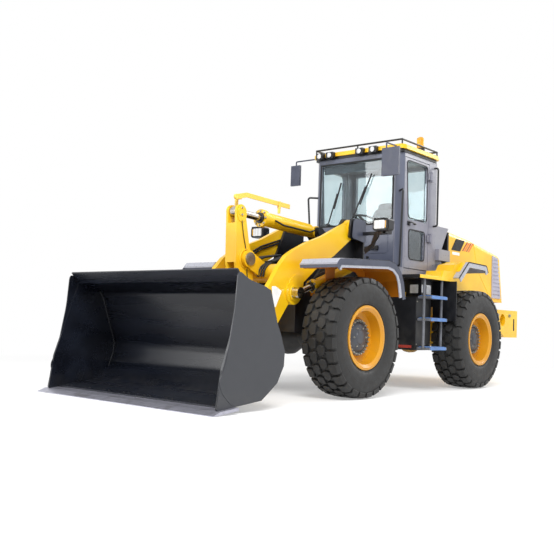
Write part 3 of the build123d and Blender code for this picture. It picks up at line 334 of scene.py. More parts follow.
def make_materials(colours):
    """Every finish, by a short key."""
    body, cab = list(colours.body), list(colours.cab)
    return {
        "yellow": enamel("golden polyurethane enamel, sprayed", body, linear("#E8B214"), 0.34),
        "pale": enamel("pale yellow enamel on drawn bar", linear("#F3CC55"), linear("#EBC04A"), 0.4),
        # deep orange stands for the body's yellow in the shade under the fenders: painted shade, not primer
        "deep": enamel("orange primer enamel under the fenders", linear("#C8780F"), linear("#B86C0C"), 0.45),
        # the rims' deeper orange-gold is painted shade: the body's yellow enamel, darkened for the shade the
        # rims stand in
        "rim": enamel("golden enamel on rolled rim, deepened as painted shade", linear("#CE9010"), linear("#C2840C"), 0.34, 1300, 0.05),
        "cab": enamel("lilac grey enamel on folded sheet", cab, linear("#777784"), 0.32, 1500, 0.08),
        "slate": enamel("slate grey enamel on pressed panel", list(colours.panels), linear("#4C5162"), 0.34),
        "silver": enamel(
            "silver grey enamel on moulded fender", linear("#A6A8B1"), linear("#9EA0AA"), 0.3, 900, 0.0, 0.4
        ),
        "lilac": enamel("pale lilac enamel on folded sheet", linear("#A9A7B8"), linear("#9C9AAC"), 0.36),
        # the slate for the bucket's outer sides is painted light
        "bucket": bucket_paint(list(colours.bucket), linear("#33353A")),
        "rubber": rubber(list(colours.rubber)),
        "dark": powder_coat("black powder coat on steel", list(colours.dark)),
        "hub": powder_coat("graphite powder coat on cast hub", linear("#3B3E45"), 0.4, metallic=0.3),
        "tube": powder_coat("grey powder coat on bent tube", linear("#5C5E64"), 0.4),
        "strap": powder_coat("umber powder coat on lamp strap", linear("#3A322C"), 0.5),
        "step": powder_coat("blue powder coat on steps", linear("#4A70A6")),
        "iron": powder_coat("grey enamel on cast iron", linear("#4A4C4E"), 0.55),
        "edge": bare_steel("abrasion plate, flame cut and worn", "#B4B4C0", 0.42),
        "pin": bare_steel("turned and hardened pin steel", "#9A9CA0", 0.3),
        "bolt": bare_steel("zinc plated bolt steel", "#A8A69C", 0.35),
        "chrome": hard_chrome(),
        "glass": tinted_glass(),
        "plastic": moulded("black ABS, moulded", "#121317", 0.42),
        "shell": moulded("slate ABS, moulded", "#3D4150", 0.35),
        "seal": moulded("EPDM seal rubber, extruded", "#131416", 0.6),
        "hose": moulded("nitrile hose cover, wrapped", "#17171A", 0.5, 4.0),
        "dash": moulded("blue-grey polypropylene dashboard", "#46525C", 0.6),
        "vinyl": moulded("grey vinyl seat cover, embossed", "#59646A", 0.6, 4.0),
        "film": moulded("white vinyl film", "#EDEDEA", 0.3, 12.0),
        "orange": moulded("orange vinyl film", "#D8622F", 0.35, 12.0),
        "red": moulded("red vinyl film", "#9E3A30", 0.35, 12.0),
        "mirror": bare_steel("silvered mirror glass", "#D8DCE0", 0.1, 40.0),
        "clear": lens("clear polycarbonate lens, moulded", "#F4F5F6", 0.12, 0.25),
        "amber": lens("amber polycarbonate lens, moulded", "#FBB81E", 0.2, 0.35),
        "tail": lens("red polycarbonate lens, moulded", "#B3221C", 0.2, 0.3),
    }


M = {}
NODE_FINISH = {
    "yellow": (
        "rear_chassis", "cab_bearers", "boom", "bellcrank", "bucket_link", "engine_hood",
        "rear_axle", "cab_roof", "tilt_barrel", "lift_barrel_left", "lift_barrel_right",
        "steer_barrel_left", "steer_barrel_right", "counterweight",
    ),
    # the fender stays take the deep orange as painted shade under the fenders
    "deep": ("fender_stays",),
    "rim": tuple(f"rim_{corner}" for corner in CORNERS),
    "rubber": tuple(f"tyre_{corner}" for corner in CORNERS),
    "bucket": ("bucket",),
    "edge": ("cutting_edge",),
    "pin": ("bucket_pins", "bellcrank_shaft", "link_shaft"),
    "chrome": ("tilt_rod", "lift_rod_left", "lift_rod_right", "steer_rod_left", "steer_rod_right"),
    "cab": ("cab_frame", "door_left", "door_right"),
    "silver": ("front_fenders", "rear_fenders"),
    "dark": (
        # front_chassis and front_axle take the black coat as painted shade: they stand in the machine's
        # shadow
        "front_chassis", "front_axle", "rear_bulkhead", "side_boxes", "platforms", "guard_rails", "roof_rail",
    ),
    "tube": ("ladders",),
    "lilac": ("hood_grilles",),
    "iron": ("engine_block",),
    "glass": ("cab_glass", "door_glass_left", "door_glass_right"),
    "plastic": ("mudflaps", "roof_trim", "work_lamps", "headlights", "steering_console"),
    "shell": ("mirrors",),
    "vinyl": ("seat",),
    "amber": ("beacon",),
}

# ---------------------------------------------------------------- mesh helpers
def make_piece(name, mesh, body, finish, smooth=35.0, bevel=0.0):
    """Object from a bmesh, shaded smooth below an angle, with a finish or several, and a body."""
    data = bpy.data.meshes.new(name)
    bmesh.ops.recalc_face_normals(mesh, faces=mesh.faces)
    mesh.to_mesh(data)
    mesh.free()
    piece = bpy.data.objects.new(name, data)
    bpy.context.scene.collection.objects.link(piece)
    for key in (finish if isinstance(finish, (list, tuple)) else [finish]):
        data.materials.append(M[key])
    if bevel:
        modifier = piece.modifiers.new("edge", "BEVEL")
        modifier.width = bevel
        modifier.segments = 2
        modifier.limit_method = "ANGLE"
        modifier.angle_limit = math.radians(40)
    if smooth:
        data.shade_smooth()
        data.set_sharp_from_angle(angle=math.radians(smooth))
    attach(piece, body)
    return piece


@contextlib.contextmanager
def new_piece(name, body, finish, slot, smooth=35.0, bevel=0.0):
    """Gives an empty mesh to fill, and makes the piece of it where the block ends."""
    mesh = bmesh.new()
    yield mesh
    make_piece(name, mesh, body, finish, smooth, bevel)


def number_faces(verts, finish):
    """Gives the faces round some vertices the piece's finish of that number."""
    for face in {f for v in verts for f in v.link_faces}:
        face.material_index = finish


def add_skin(mesh, rings, finish=0, capped=True, closed=False):
    """Faces between rings of vertices, with capped ends or with the last ring joined to the first."""
    faces = [mesh.faces.new(list(reversed(rings[0]))), mesh.faces.new(rings[-1])] if capped else []
    for ring, following in zip(rings, rings[1:] + ([rings[0]] if closed else [])):
        for k in range(len(ring)):
            after = (k + 1) % len(ring)
            faces.append(mesh.faces.new((ring[k], ring[after], following[after], following[k])))
    for face in faces:
        face.material_index = finish


def circle(count, shift=0.0):
    """Angles in even steps round a circle, moved on by a share of a step."""
    return [2 * math.pi * (number + shift) / count for number in range(count)]


def add_box(mesh, low, high, finish=0):
    """Box between two corners in metres."""
    low, high = Vector(low), Vector(high)
    size = Matrix.Diagonal((*[abs(s) for s in high - low], 1))
    made = bmesh.ops.create_cube(mesh, size=1.0, matrix=Matrix.Translation((low + high) / 2) @ size)
    number_faces(made["verts"], finish)


def box_mm(mesh, ahead, left, up, finish=0):
    """Box over three (low, high) spans in millimetres."""
    add_box(mesh, at(ahead[0], left[0], up[0]), at(ahead[1], left[1], up[1]), finish)


def frame_of(direction):
    """Matrix whose local Z points along a direction."""
    return Vector(direction).to_track_quat("Z", "Y").to_matrix().to_4x4()


def add_rod(mesh, start, end, radius, sides=16, end_radius=None, finish=0):
    """Closed round bar or cone from start to end."""
    start, end = Vector(start), Vector(end)
    run = end - start
    made = bmesh.ops.create_cone(
        mesh, cap_ends=True, segments=sides, radius1=radius,
        radius2=radius if end_radius is None else end_radius, depth=run.length,
        matrix=Matrix.Translation((start + end) / 2) @ frame_of(run),
    )
    number_faces(made["verts"], finish)


def add_bolt(mesh, place, direction, width, height, finish=0):
    """Hexagon head with a washer, sunk 2 mm into what it holds."""
    place, direction = Vector(place), Vector(direction).normalized()
    washer_top, top = place + direction * height * 0.25, place + direction * height
    add_rod(mesh, place - direction * 0.002, washer_top, width * 0.72, 16, finish=finish)
    add_rod(mesh, washer_top, top, width * 0.56, 6, finish=finish)


def add_lathe(mesh, profile, centre, axis, sides=64, finish=0, closed=True):
    """Surface turned from (along, radius) pairs about an axis through centre."""
    turn = Matrix.Translation(Vector(centre)) @ frame_of(axis)
    spokes = [(math.cos(a), math.sin(a)) for a in circle(sides)]
    rings = [
        [mesh.verts.new(turn @ Vector((radius * c, radius * s, along))) for c, s in spokes]
        for along, radius in profile
    ]
    add_skin(mesh, rings, finish, capped=False, closed=closed)


def add_prism(mesh, outline, shift, finish=0):
    """Solid from a flat outline of places, moved by a shift to make its far side."""
    shifts = (Vector(), Vector(shift))
    add_skin(mesh, [[mesh.verts.new(Vector(p) + s) for p in outline] for s in shifts], finish)


def side_plate(mesh, outline, left, thick, finish=0):
    """Plate from an outline of (ahead, up) in millimetres, from the plane at left outwards by thick."""
    add_prism(mesh, [at(x, left, z) for x, z in outline], (0, thick / 1000, 0), finish)


def front_plate(mesh, outline, ahead, thick, finish=0):
    """Plate from an outline of (left, up) in millimetres, from the plane at ahead forwards by thick."""
    add_prism(mesh, [at(ahead, y, z) for y, z in outline], (thick / 1000, 0, 0), finish)


def eased(before, corner, after, radius, steps):
    """Places that round a corner between its two neighbours."""
    inward, outward = before - corner, after - corner
    first = corner + inward.normalized() * min(radius, 0.48 * inward.length, 0.48 * outward.length)
    last = corner + outward.normalized() * min(radius, 0.48 * inward.length, 0.48 * outward.length)
    shares = [step / steps for step in range(steps + 1)]
    return [first.lerp(corner, share).lerp(corner.lerp(last, share), share) for share in shares]


def bent_path(points, bend):
    """Points with their corners rounded to a bend radius."""
    points = [Vector(p) for p in points]
    path = [points[0]]
    for before, corner, after in zip(points, points[1:], points[2:]):
        half = (before - corner).angle(after - corner) / 2
        path += eased(before, corner, after, bend / max(math.tan(half), 1e-3), 6)
    return path + [points[-1]]


def rounded(outline, radius, steps=5):
    """Outline of pairs with its corners rounded, in the outline's own unit."""
    points = [Vector(p) for p in outline]
    made = []
    for k, corner in enumerate(points):
        made += eased(points[k - 1], corner, points[(k + 1) % len(points)], radius, steps)
    return [tuple(p) for p in made]


def oblong(first, second, low, high):
    """Corners of a rectangle, in order round it."""
    return [(first, low), (second, low), (second, high), (first, high)]


def add_sweep(mesh, points, section, bend, upright=(0, 0, 1), finish=0):
    """Bar of a closed section of (sideways, upright) places, swept along bent points."""
    path = bent_path(points, bend)
    rings = []
    for number, place in enumerate(path):
        ahead = (path[min(number + 1, len(path) - 1)] - path[max(number - 1, 0)]).normalized()
        sideways = ahead.cross(Vector(upright)).normalized()
        rise = sideways.cross(ahead)
        rings.append([mesh.verts.new(place + sideways * a + rise * b) for a, b in section])
    add_skin(mesh, rings, finish)


def pipe_mm(mesh, points, radius, bend, sides=12, finish=0):
    """Round pipe through (ahead, left, up) places, its corners rounded to a bend, all in millimetres."""
    path = bent_path([at(*p) for p in points], bend / 1000)
    direction = (path[1] - path[0]).normalized()
    side = direction.orthogonal().normalized()
    rings = []
    for number, place in enumerate(path):
        ahead = path[min(number + 1, len(path) - 1)] - path[max(number - 1, 0)]
        side = (direction.rotation_difference(ahead.normalized()) @ side).normalized()
        direction = ahead.normalized()
        other = direction.cross(side)
        rings.append([
            mesh.verts.new(place + (side * math.cos(a) + other * math.sin(a)) * (radius / 1000))
            for a in circle(sides)
        ])
    add_skin(mesh, rings, finish)


# ---------------------------------------------------------------- stage
CAMERA_PLACE = Vector((AXLE_X + 7.142, 5.815, 0.797))
HEADING, RISE, ROLL = math.radians(220.182), math.radians(3.385), math.radians(2.035)
LENS_MM = 50.38
FLOOR_SIZE = 60  # metres from the floor's middle to its sides
FADE_START, FADE_END = 4.2, 8.5  # metres from the middle over which the floor turns to plain white
PLAIN_WHITE = {"Color": (1, 1, 1, 1), "Strength": 1.0}


def add_camera():
    """Camera low at the front left, looking back along the machine."""
    forward = Vector((math.cos(RISE) * math.cos(HEADING), math.cos(RISE) * math.sin(HEADING), math.sin(RISE)))
    level = forward.cross(Vector((0, 0, 1))).normalized()
    upright = level.cross(forward)
    right = level * math.cos(ROLL) + upright * math.sin(ROLL)
    top = upright * math.cos(ROLL) - level * math.sin(ROLL)
    data = bpy.data.cameras.new("low front left")
    data.lens = LENS_MM
    data.sensor_width = 36
    data.clip_end = 200
    camera = bpy.data.objects.new("low_front_left", data)
    camera.matrix_world = Matrix((right, top, -forward)).transposed().to_4x4()
    camera.location = CAMERA_PLACE
    bpy.context.scene.collection.objects.link(camera)
    bpy.context.scene.camera = camera


def white_share(node):
    """1 for camera, glossy and transmission rays, which all see the plain white background."""
    path = node("ShaderNodeLightPath").outputs
    most = {"operation": "MAXIMUM"}
    seen = node("ShaderNodeMath", most, i0=path["Is Camera Ray"], i1=path["Is Glossy Ray"]).outputs[0]
    return node("ShaderNodeMath", most, i0=seen, i1=path["Is Transmission Ray"]).outputs[0]


def add_world(strength):
    """Even daylight that shows white."""
    world = bpy.data.worlds.new("white room")
    world.use_nodes = True
    world.node_tree.nodes.clear()
    node = functools.partial(add_node, world.node_tree)
    light = node("ShaderNodeBackground", Color=(1, 1, 1, 1), Strength=strength).outputs[0]
    white = node("ShaderNodeBackground", **PLAIN_WHITE).outputs[0]
    shown = node("ShaderNodeMixShader", i0=white_share(node), i1=light, i2=white).outputs[0]
    node("ShaderNodeOutputWorld", Surface=shown)
    bpy.context.scene.world = world


def add_floor():
    """Pale floor that keeps the machine's soft shadow and runs out into the white background."""
    mesh = bmesh.new()
    bmesh.ops.create_grid(mesh, x_segments=1, y_segments=1, size=FLOOR_SIZE)
    data = bpy.data.meshes.new("floor")
    mesh.to_mesh(data)
    mesh.free()
    floor = bpy.data.objects.new("floor", data)
    bpy.context.scene.collection.objects.link(floor)
    material, node, place = new_material("white painted floor", Roughness=0.9, Specular_IOR_Level=0.0)
    painted = material.node_tree.nodes["Principled BSDF"]
    painted.inputs["Base Color"].default_value = linear("#F6F6F6")
    away = node("ShaderNodeVectorMath", {"operation": "LENGTH"}, i0=place).outputs["Value"]
    fade = node(
        "ShaderNodeMapRange", SMOOTH, i0=away, i1=FADE_START, i2=FADE_END, i3=0.35, i4=1.0
    ).outputs[0]
    share = node("ShaderNodeMath", TIMES, i0=fade, i1=white_share(node)).outputs[0]
    white = node("ShaderNodeEmission", **PLAIN_WHITE).outputs[0]
    shown = node("ShaderNodeMixShader", i0=share, i1=painted.outputs[0], i2=white).outputs[0]
    material.node_tree.links.new(shown, material.node_tree.nodes["Material Output"].inputs["Surface"])
    data.materials.append(material)


def add_lamp(name, place, target, size, power):
    """Square soft lamp aimed at a target."""
    data = bpy.data.lights.new(name, "AREA")
    data.shape = "SQUARE"
    data.size = size
    data.energy = power
    lamp = bpy.data.objects.new(name, data)
    lamp.location = place
    lamp.rotation_euler = (Vector(target) - Vector(place)).to_track_quat("-Z", "Y").to_euler()
    lamp.visible_camera = False
    bpy.context.scene.collection.objects.link(lamp)


class LOADER_OT_stage(bpy.types.Operator):
    """Floor, white room, soft lamps and the camera"""
    bl_idname = "loader.stage"
    bl_label = "Stage"

    def execute(self, context):
        """Builds the stage and sets the view transform."""
        context.scene.view_settings.view_transform = "Standard"
        add_world(0.62)
        add_floor()
        add_lamp("high soft lamp", (7.0, 6.0, 9.0), (0, 0, 1.2), 5.0, 1250)
        add_lamp("front fill lamp", (9.5, -4.0, 4.0), (1, 0, 1.0), 4.0, 260)
        add_lamp("rear soft lamp", (-8.0, 3.0, 7.0), (-1, 0, 1.5), 5.0, 500)
        add_camera()
        return {"FINISHED"}


# ---------------------------------------------------------------- finishes
class LOADER_OT_finishes(bpy.types.Operator):
    """A finish for every CAD node"""
    bl_idname = "loader.finishes"
    bl_label = "Finishes"

    def execute(self, context):
        """Makes the materials and assigns one to each node."""
        M.update(make_materials(context.scene.loader_colours))
        for key, names in NODE_FINISH.items():
            for name in names:
                data = NODES[name].data
                data.materials.clear()
                data.materials.append(M[key])
        missing = [n for n in NODES if not any(n in names for names in NODE_FINISH.values())]
        if missing:
            raise RuntimeError(f"no finish for {missing}")
        return {"FINISHED"}


# ---------------------------------------------------------------- tyres
TYRE_LOW, TYRE_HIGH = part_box("tyre_front_left")
TYRE_RADIUS = (TYRE_HIGH.z - TYRE_LOW.z) / 2
TYRE_HALF = (TYRE_HIGH.y - TYRE_LOW.y) / 2
BULGE = 0.2225  # half width that the section below was drawn for
# lower part of the section, from the tread's edge to the bead, as (along the axle, radius)
SIDEWALL = [
    (0.215, 0.56), (0.2205, 0.525), (BULGE, 0.49), (0.2215, 0.45), (0.216, 0.415), (0.206, 0.388),
    (0.199, 0.381), (0.2, 0.375), (0.196, 0.369), (0.187, 0.366), (0.183, 0.36), (0.179, 0.345),
    (0.176, 0.33), (0.171, 0.3215),
]
# tread blocks as (across in metres, round as a share of half a lug's length)
CENTRE_BLOCK = [(0.007, -0.7), (0.045, -1.0), (0.095, -0.75), (0.102, 0.3), (0.066, 0.98), (0.012, 0.72)]
SHOULDER_BLOCK = [(0.113, -0.9), (0.15, -1.02), (0.2, -0.95), (0.201, 0.92), (0.15, 0.98), (0.119, 0.55)]
SHOULDER_LAG = 0.45  # pitches that the shoulder blocks stand behind the centre ones
BEAD_RIB = [(0.2205, 0.505), (0.2224, 0.503), (0.2224, 0.488), (0.2205, 0.486)]


def carcass_profile(lug_height):
    """(along the axle, radius) pairs round the tyre's section, from the inner bead to the outer one."""
    crown = TYRE_RADIUS - lug_height
    drops = [(0.0, 0.0), (0.08, 0.001), (0.14, 0.006), (0.175, 0.014), (0.198, 0.03), (0.209, 0.055)]
    half = [(along, crown - drop) for along, drop in drops] + SIDEWALL
    half = [(along * TYRE_HALF / BULGE, radius) for along, radius in half]
    return [(-along, radius) for along, radius in reversed(half[1:])] + half


def add_lug(mesh, outline, crown, lug_height, lead):
    """Tread block: an outline of (across, round) places in metres on the crown, chamfered at its top."""
    middle = [sum(p[i] for p in outline) / len(outline) for i in (0, 1)]
    rings = []
    for share, rise in ((1.05, -0.012), (1.0, lug_height * 0.82), (0.93, lug_height)):
        ring = []
        for place in outline:
            across, around = (m + (p - m) * share for m, p in zip(middle, place))
            radius, angle = crown(across) + rise, (around + lead) / TYRE_RADIUS
            ring.append(mesh.verts.new((radius * math.cos(angle), radius * math.sin(angle), across)))
        rings.append(ring)
    add_skin(mesh, rings, capped=False)
    mesh.faces.new(rings[-1])


def build_tyre(name, corner, sizes):
    """Carcass with four rows of block lugs and short shoulder buttresses, in place of the plain tyre."""
    side = 1 if AXLE[corner].y > 0 else -1
    height = sizes.lug_height

    def crown(across):
        """Radius of the carcass under a lug."""
        reach = abs(across) / TYRE_HALF
        return TYRE_RADIUS - height - 0.0035 * (reach / 0.5) ** 2 - max(0.0, reach - 0.72) ** 2 * 0.25

    mesh = bmesh.new()
    add_lathe(mesh, carcass_profile(height), (0, 0, 0), (0, 0, 1), 120, closed=False)
    pitch = 2 * math.pi * TYRE_RADIUS / sizes.lug_count
    half = 0.42 * pitch
    buttress = [
        (TYRE_RADIUS - height * 0.6, 0.199), (TYRE_RADIUS - height * 1.1, 0.2085), (0.605, 0.2155),
        (0.596, 0.2115), (0.6, 0.2), (0.63, 0.19),
    ]
    for number in range(sizes.lug_count):
        for hand in (1, -1):
            lead = (number if hand > 0 else number + 0.5) * pitch
            behind = lead + SHOULDER_LAG * pitch
            for block, shift in ((CENTRE_BLOCK, lead), (SHOULDER_BLOCK, behind)):
                outline = [(hand * across, share * half) for across, share in block]
                add_lug(mesh, outline, crown, height, shift)
            # buttress that runs from the shoulder block down the sidewall
            turn = Matrix.Rotation(behind / TYRE_RADIUS, 3, "Z")
            corners = [turn @ Vector((radius, -0.88 * half, hand * across)) for radius, across in buttress]
            add_prism(mesh, corners, turn @ Vector((0, 1.7 * half, 0)))
    # raised rib that guards the bead, on both sidewalls
    for hand in (1, -1):
        add_lathe(mesh, [(hand * a, r) for a, r in BEAD_RIB], (0, 0, 0), (0, 0, 1), 96)
    bmesh.ops.transform(
        mesh, verts=mesh.verts,
        matrix=Matrix.Translation(AXLE[corner]) @ Matrix.Rotation(math.radians(-90 * side), 4, "X"),
    )
    tyre = make_piece(name, mesh, f"wheel_{corner}", "rubber", smooth=32)
    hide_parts(f"tyre_{corner}")


class LOADER_OT_tyres(bpy.types.Operator):
    """Lugged tyres"""
    bl_idname = "loader.tyres"
    bl_label = "Tyres"

    def execute(self, context):
        """One tyre at each corner."""
        for corner in CORNERS:
            build_tyre(f"lugged_tyre_{corner}", corner, context.scene.loader_sizes)
        return {"FINISHED"}


# ---------------------------------------------------------------- wheel fittings
# turned outlines in metres, as (outwards from the wheel's middle plane, radius)
HUB_COVER = [
    (0.0738, 0.2045), (0.0778, 0.202), (0.0778, 0.169), (0.0815, 0.164), (0.0985, 0.144), (0.1035, 0.134),
    (0.1055, 0.085), (0.108, 0.08), (0.116, 0.074), (0.123, 0.05), (0.126, 0.0),
]
LOCK_RING = [(0.181, 0.322), (0.196, 0.322), (0.2, 0.327), (0.196, 0.333), (0.181, 0.333)]
NUT_CIRCLE, NUT_SEAT = 0.1865, 0.0775
CAP_CIRCLE, CAP_SEAT = 0.112, 0.104
VALVE_RADIUS = 0.245


def hub_cover(corner, out, nuts):
    """Cast planetary hub in graphite: bolted flange, cone and a domed cap."""
    middle = AXLE[corner]
    finish = ("hub", "bolt")
    with new_piece(f"hub_cover_{corner}", f"wheel_{corner}", finish, "dark_paint", 30, 0.001) as mesh:
        add_lathe(mesh, HUB_COVER, middle, out, 64, closed=False)
        for angle in circle(nuts):
            foot = middle + out * NUT_SEAT + Vector((math.cos(angle), 0, math.sin(angle))) * NUT_CIRCLE
            add_bolt(mesh, foot, out, 0.021, 0.017, finish=1)
            add_rod(mesh, foot, foot + out * 0.026, 0.007, 8, finish=1)
        for angle in circle(6):
            foot = middle + out * CAP_SEAT + Vector((math.cos(angle), 0, math.sin(angle))) * CAP_CIRCLE
            add_bolt(mesh, foot, out, 0.014, 0.01, finish=1)


def lock_ring(corner, out):
    """Lock ring of the five-piece rim, and the tyre's valve."""
    with new_piece(f"lock_ring_{corner}", f"wheel_{corner}", "rim", "yellow_paint") as mesh:
        add_lathe(mesh, LOCK_RING, AXLE[corner], out, 96)
        valve = AXLE[corner] + Vector((VALVE_RADIUS, 0, 0)) + out * 0.06
        add_rod(mesh, valve, valve + out * 0.045, 0.006, 10)
        add_rod(mesh, valve + out * 0.045, valve + out * 0.062, 0.009, 10)


class LOADER_OT_wheel_fittings(bpy.types.Operator):
    """Hub covers with their nuts, lock rings and valves"""
    bl_idname = "loader.wheel_fittings"
    bl_label = "Wheel fittings"

    def execute(self, context):
        """Fittings on the outer face of each rim."""
        for corner in CORNERS:
            out = Vector((0, 1 if AXLE[corner].y > 0 else -1, 0))
            hub_cover(corner, out, context.scene.loader_sizes.hub_bolts)
            lock_ring(corner, out)
        return {"FINISHED"}


# ---------------------------------------------------------------- bucket
EDGE_LOW, EDGE_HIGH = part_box("cutting_edge")
EDGE_LEAN = math.radians(6)
# of the edge's bolts in metres: behind the lip, from its ends, and half a pair's spacing
BOLT_LINE, BOLT_MARGIN, PAIR_HALF = 0.26, 0.2, 0.038
BUCKET_SIDE = box_mm_of("bucket")[1].y
CHEEK_OUTLINE = [
    (2236, 1252), (2100, 1172), (1824, 1112), (1775, 1000), (1735, 860), (1662, 750), (1606, 640),
    (1588, 520), (1606, 400), (1650, 300), (1730, 205), (1830, 138), (1975, 92), (2250, 62), (2392, 190),
    (2424, 284), (2352, 420), (2262, 900),
]
WELD_LINE = [(2330, 52), (1880, 98), (1700, 210), (1632, 400), (1620, 520), (1800, 1000), (1850, 1078)]


class LOADER_OT_bucket_fittings(bpy.types.Operator):
    """Edge bolts, rolled cheeks and weld beads of the bucket"""
    bl_idname = "loader.bucket_fittings"
    bl_label = "Bucket fittings"

    def execute(self, context):
        """Fittings that ride with the bucket."""
        # plough bolts that hold the edge, in pairs along its rear border
        pairs = context.scene.loader_sizes.edge_bolts
        up = Vector((-math.sin(EDGE_LEAN), 0, 1))
        with new_piece("edge_bolts", "bucket", "plastic", "pin_steel") as mesh:
            for number in range(pairs):
                share = number / (pairs - 1)
                y = EDGE_LOW.y + BOLT_MARGIN + (EDGE_HIGH.y - EDGE_LOW.y - 2 * BOLT_MARGIN) * share
                for shift in (-PAIR_HALF, PAIR_HALF):
                    height = BOLT_LINE * math.tan(EDGE_LEAN) + 0.024
                    add_bolt(mesh, (EDGE_HIGH.x - BOLT_LINE, y + shift, height), up, 0.03, 0.024)
        # rolled cheeks that finish the bucket's sides
        with new_piece("bucket_cheeks", "bucket", "bucket", "worn_steel", bevel=0.001) as mesh:
            for side in (1, -1):
                side_plate(mesh, rounded(CHEEK_OUTLINE, 70, 4), side * (BUCKET_SIDE - 10), side * 13)
        # weld beads where the shell meets its side plates, inside
        with new_piece("bucket_welds", "bucket", "bucket", "worn_steel", 50) as mesh:
            for side in (1, -1):
                pipe_mm(mesh, [(x, side * (BUCKET_SIDE - 26), z) for x, z in WELD_LINE], 6, 120, 8)
        return {"FINISHED"}


# ---------------------------------------------------------------- boom, bellcrank and cylinders
# pins as (ahead, up) and half spacings, in millimetres
TILT_EYE, TILT_BASE = (990, 2000), (-420, 1932)
LINK_REAR, BELLCRANK_PIN = (815, 774), (880, 1485)
LIFT_BASE, LIFT_EYE, LIFT_Y = (-450, 1500), (580, 1130), 580
ARM_SIDE, ARM_THICK = 505, 60
BOOM_SIDE = box_mm_of("boom")[1].y
CRANK_SIDE = box_mm_of("bellcrank")[1].y
LEVEL_Y, LEVEL_EYE = 66, (1066, 2150)
DOUBLER = [(674, 1040), (652, 1270), (540, 1350), (405, 1318), (405, 1180), (610, 1010)]
BLANK_PLATE = [(936, 1181), (874, 1186), (770, 1139), (862, 960), (905, 975)]
ARM_HOSE = [(-420, 1880), (60, 1725), (430, 1540), (560, 1430)]
GREASE_LINE = [(985, 1905), (948, 1740), (905, 1600), (868, 1320), (830, 1000), (818, 850)]
LIFT_PIPE = [(-380, 1545), (-360, 1572), (300, 1335), (318, 1305), (300, 1270)]


def keeper(mesh, place, y, side, radius, bolts=4, thick=0.012):
    """Round keeper plate with its bolts on the end of a pin."""
    centre = at(place[0], y, place[1])
    out = Vector((0, side, 0))
    add_rod(mesh, centre, centre + out * thick, radius, 32)
    for angle in circle(bolts, 0.5):
        around = Vector((math.cos(angle), 0, math.sin(angle))) * radius * 0.68
        add_bolt(mesh, centre + around + out * thick, out, 0.018, 0.013, finish=1)


def gland(name, base, tip, y, along, radius, bolt_circle, count, body):
    """Bolted gland at a cylinder's mouth, along mm from its base's pin."""
    start = at(base[0], y, base[1])
    run = (at(tip[0], y, tip[1]) - start).normalized()
    across = Vector((0, 1, 0))
    square = run.cross(across)
    head = start + run * along / 1000
    with new_piece(name, body, ("dark", "bolt"), "dark_paint", bevel=0.002) as mesh:
        add_rod(mesh, head, head + run * 0.02, radius / 1000, 32)
        for angle in circle(count):
            around = (square * math.cos(angle) + across * math.sin(angle)) * bolt_circle / 1000
            add_bolt(mesh, head + around, run, 0.018, 0.015, finish=1)


def arm_fittings(name, side):
    """Doubler, blank plate and hoses of one arm of the boom."""
    with new_piece(f"arm_doubler_{name}", "boom", "yellow", "yellow_paint", bevel=0.002) as mesh:
        side_plate(mesh, rounded(DOUBLER, 60), side * (ARM_SIDE + 0.2), side * 8)
    with new_piece(f"arm_blank_{name}", "boom", "film", "yellow_paint", 0) as mesh:
        side_plate(mesh, rounded(BLANK_PLATE, 12, 3), side * (ARM_SIDE + 0.3), side * 0.8)
    with new_piece(f"arm_hoses_{name}", "boom", "hose", "black_plastic", 50) as mesh:
        # two along the inner face of the arm
        lane = side * (ARM_SIDE - ARM_THICK - 14)
        for drop in (0, 34):
            pipe_mm(mesh, [(x, lane, z - drop) for x, z in ARM_HOSE], 11, 200, 10)
        # three over the cross tube, clipped down on it
        for lane in (120, 158, 196):
            pipe_mm(mesh, [
                (60, side * lane, 1606), (330, side * (lane + 10), 1560), (585, side * lane, 1470),
                (704, side * lane, 1400), (716, side * (lane - 12), 1300),
            ], 12, 90, 10)
        box_mm(mesh, (570, 600), (side * 104, side * 212), (1452, 1486))


def bellcrank_fittings():
    """Keepers, hub welds, eye doublers and grease lines of the bellcrank."""
    oval = [
        (TILT_EYE[0] - 8 + 74 * math.cos(a), TILT_EYE[1] - 26 + 92 * math.sin(a)) for a in circle(28)
    ]
    weld = [(0.0002, 0.118), (0.009, 0.114), (0.009, 0.1), (0.0002, 0.1)]
    finish = ("yellow", "bolt")
    with new_piece("bellcrank_keepers", "bellcrank", finish, "yellow_paint", bevel=0.0015) as mesh:
        for side in (1, -1):
            keeper(mesh, TILT_EYE, side * (CRANK_SIDE + 1), side, 0.056, 2, 0.01)
            keeper(mesh, LINK_REAR, side * (CRANK_SIDE + 1), side, 0.06, 2, 0.01)
            hub = at(BELLCRANK_PIN[0], side * CRANK_SIDE, BELLCRANK_PIN[1])
            add_lathe(mesh, weld, hub, (0, side, 0), 48)
            side_plate(mesh, oval, side * (CRANK_SIDE + 0.2), side * 7)
    with new_piece("bellcrank_grease_lines", "bellcrank", "hose", "black_plastic", 50) as mesh:
        for side in (1, -1):
            pipe_mm(mesh, [(x, side * (CRANK_SIDE + 6), z) for x, z in GREASE_LINE], 5, 80, 8)


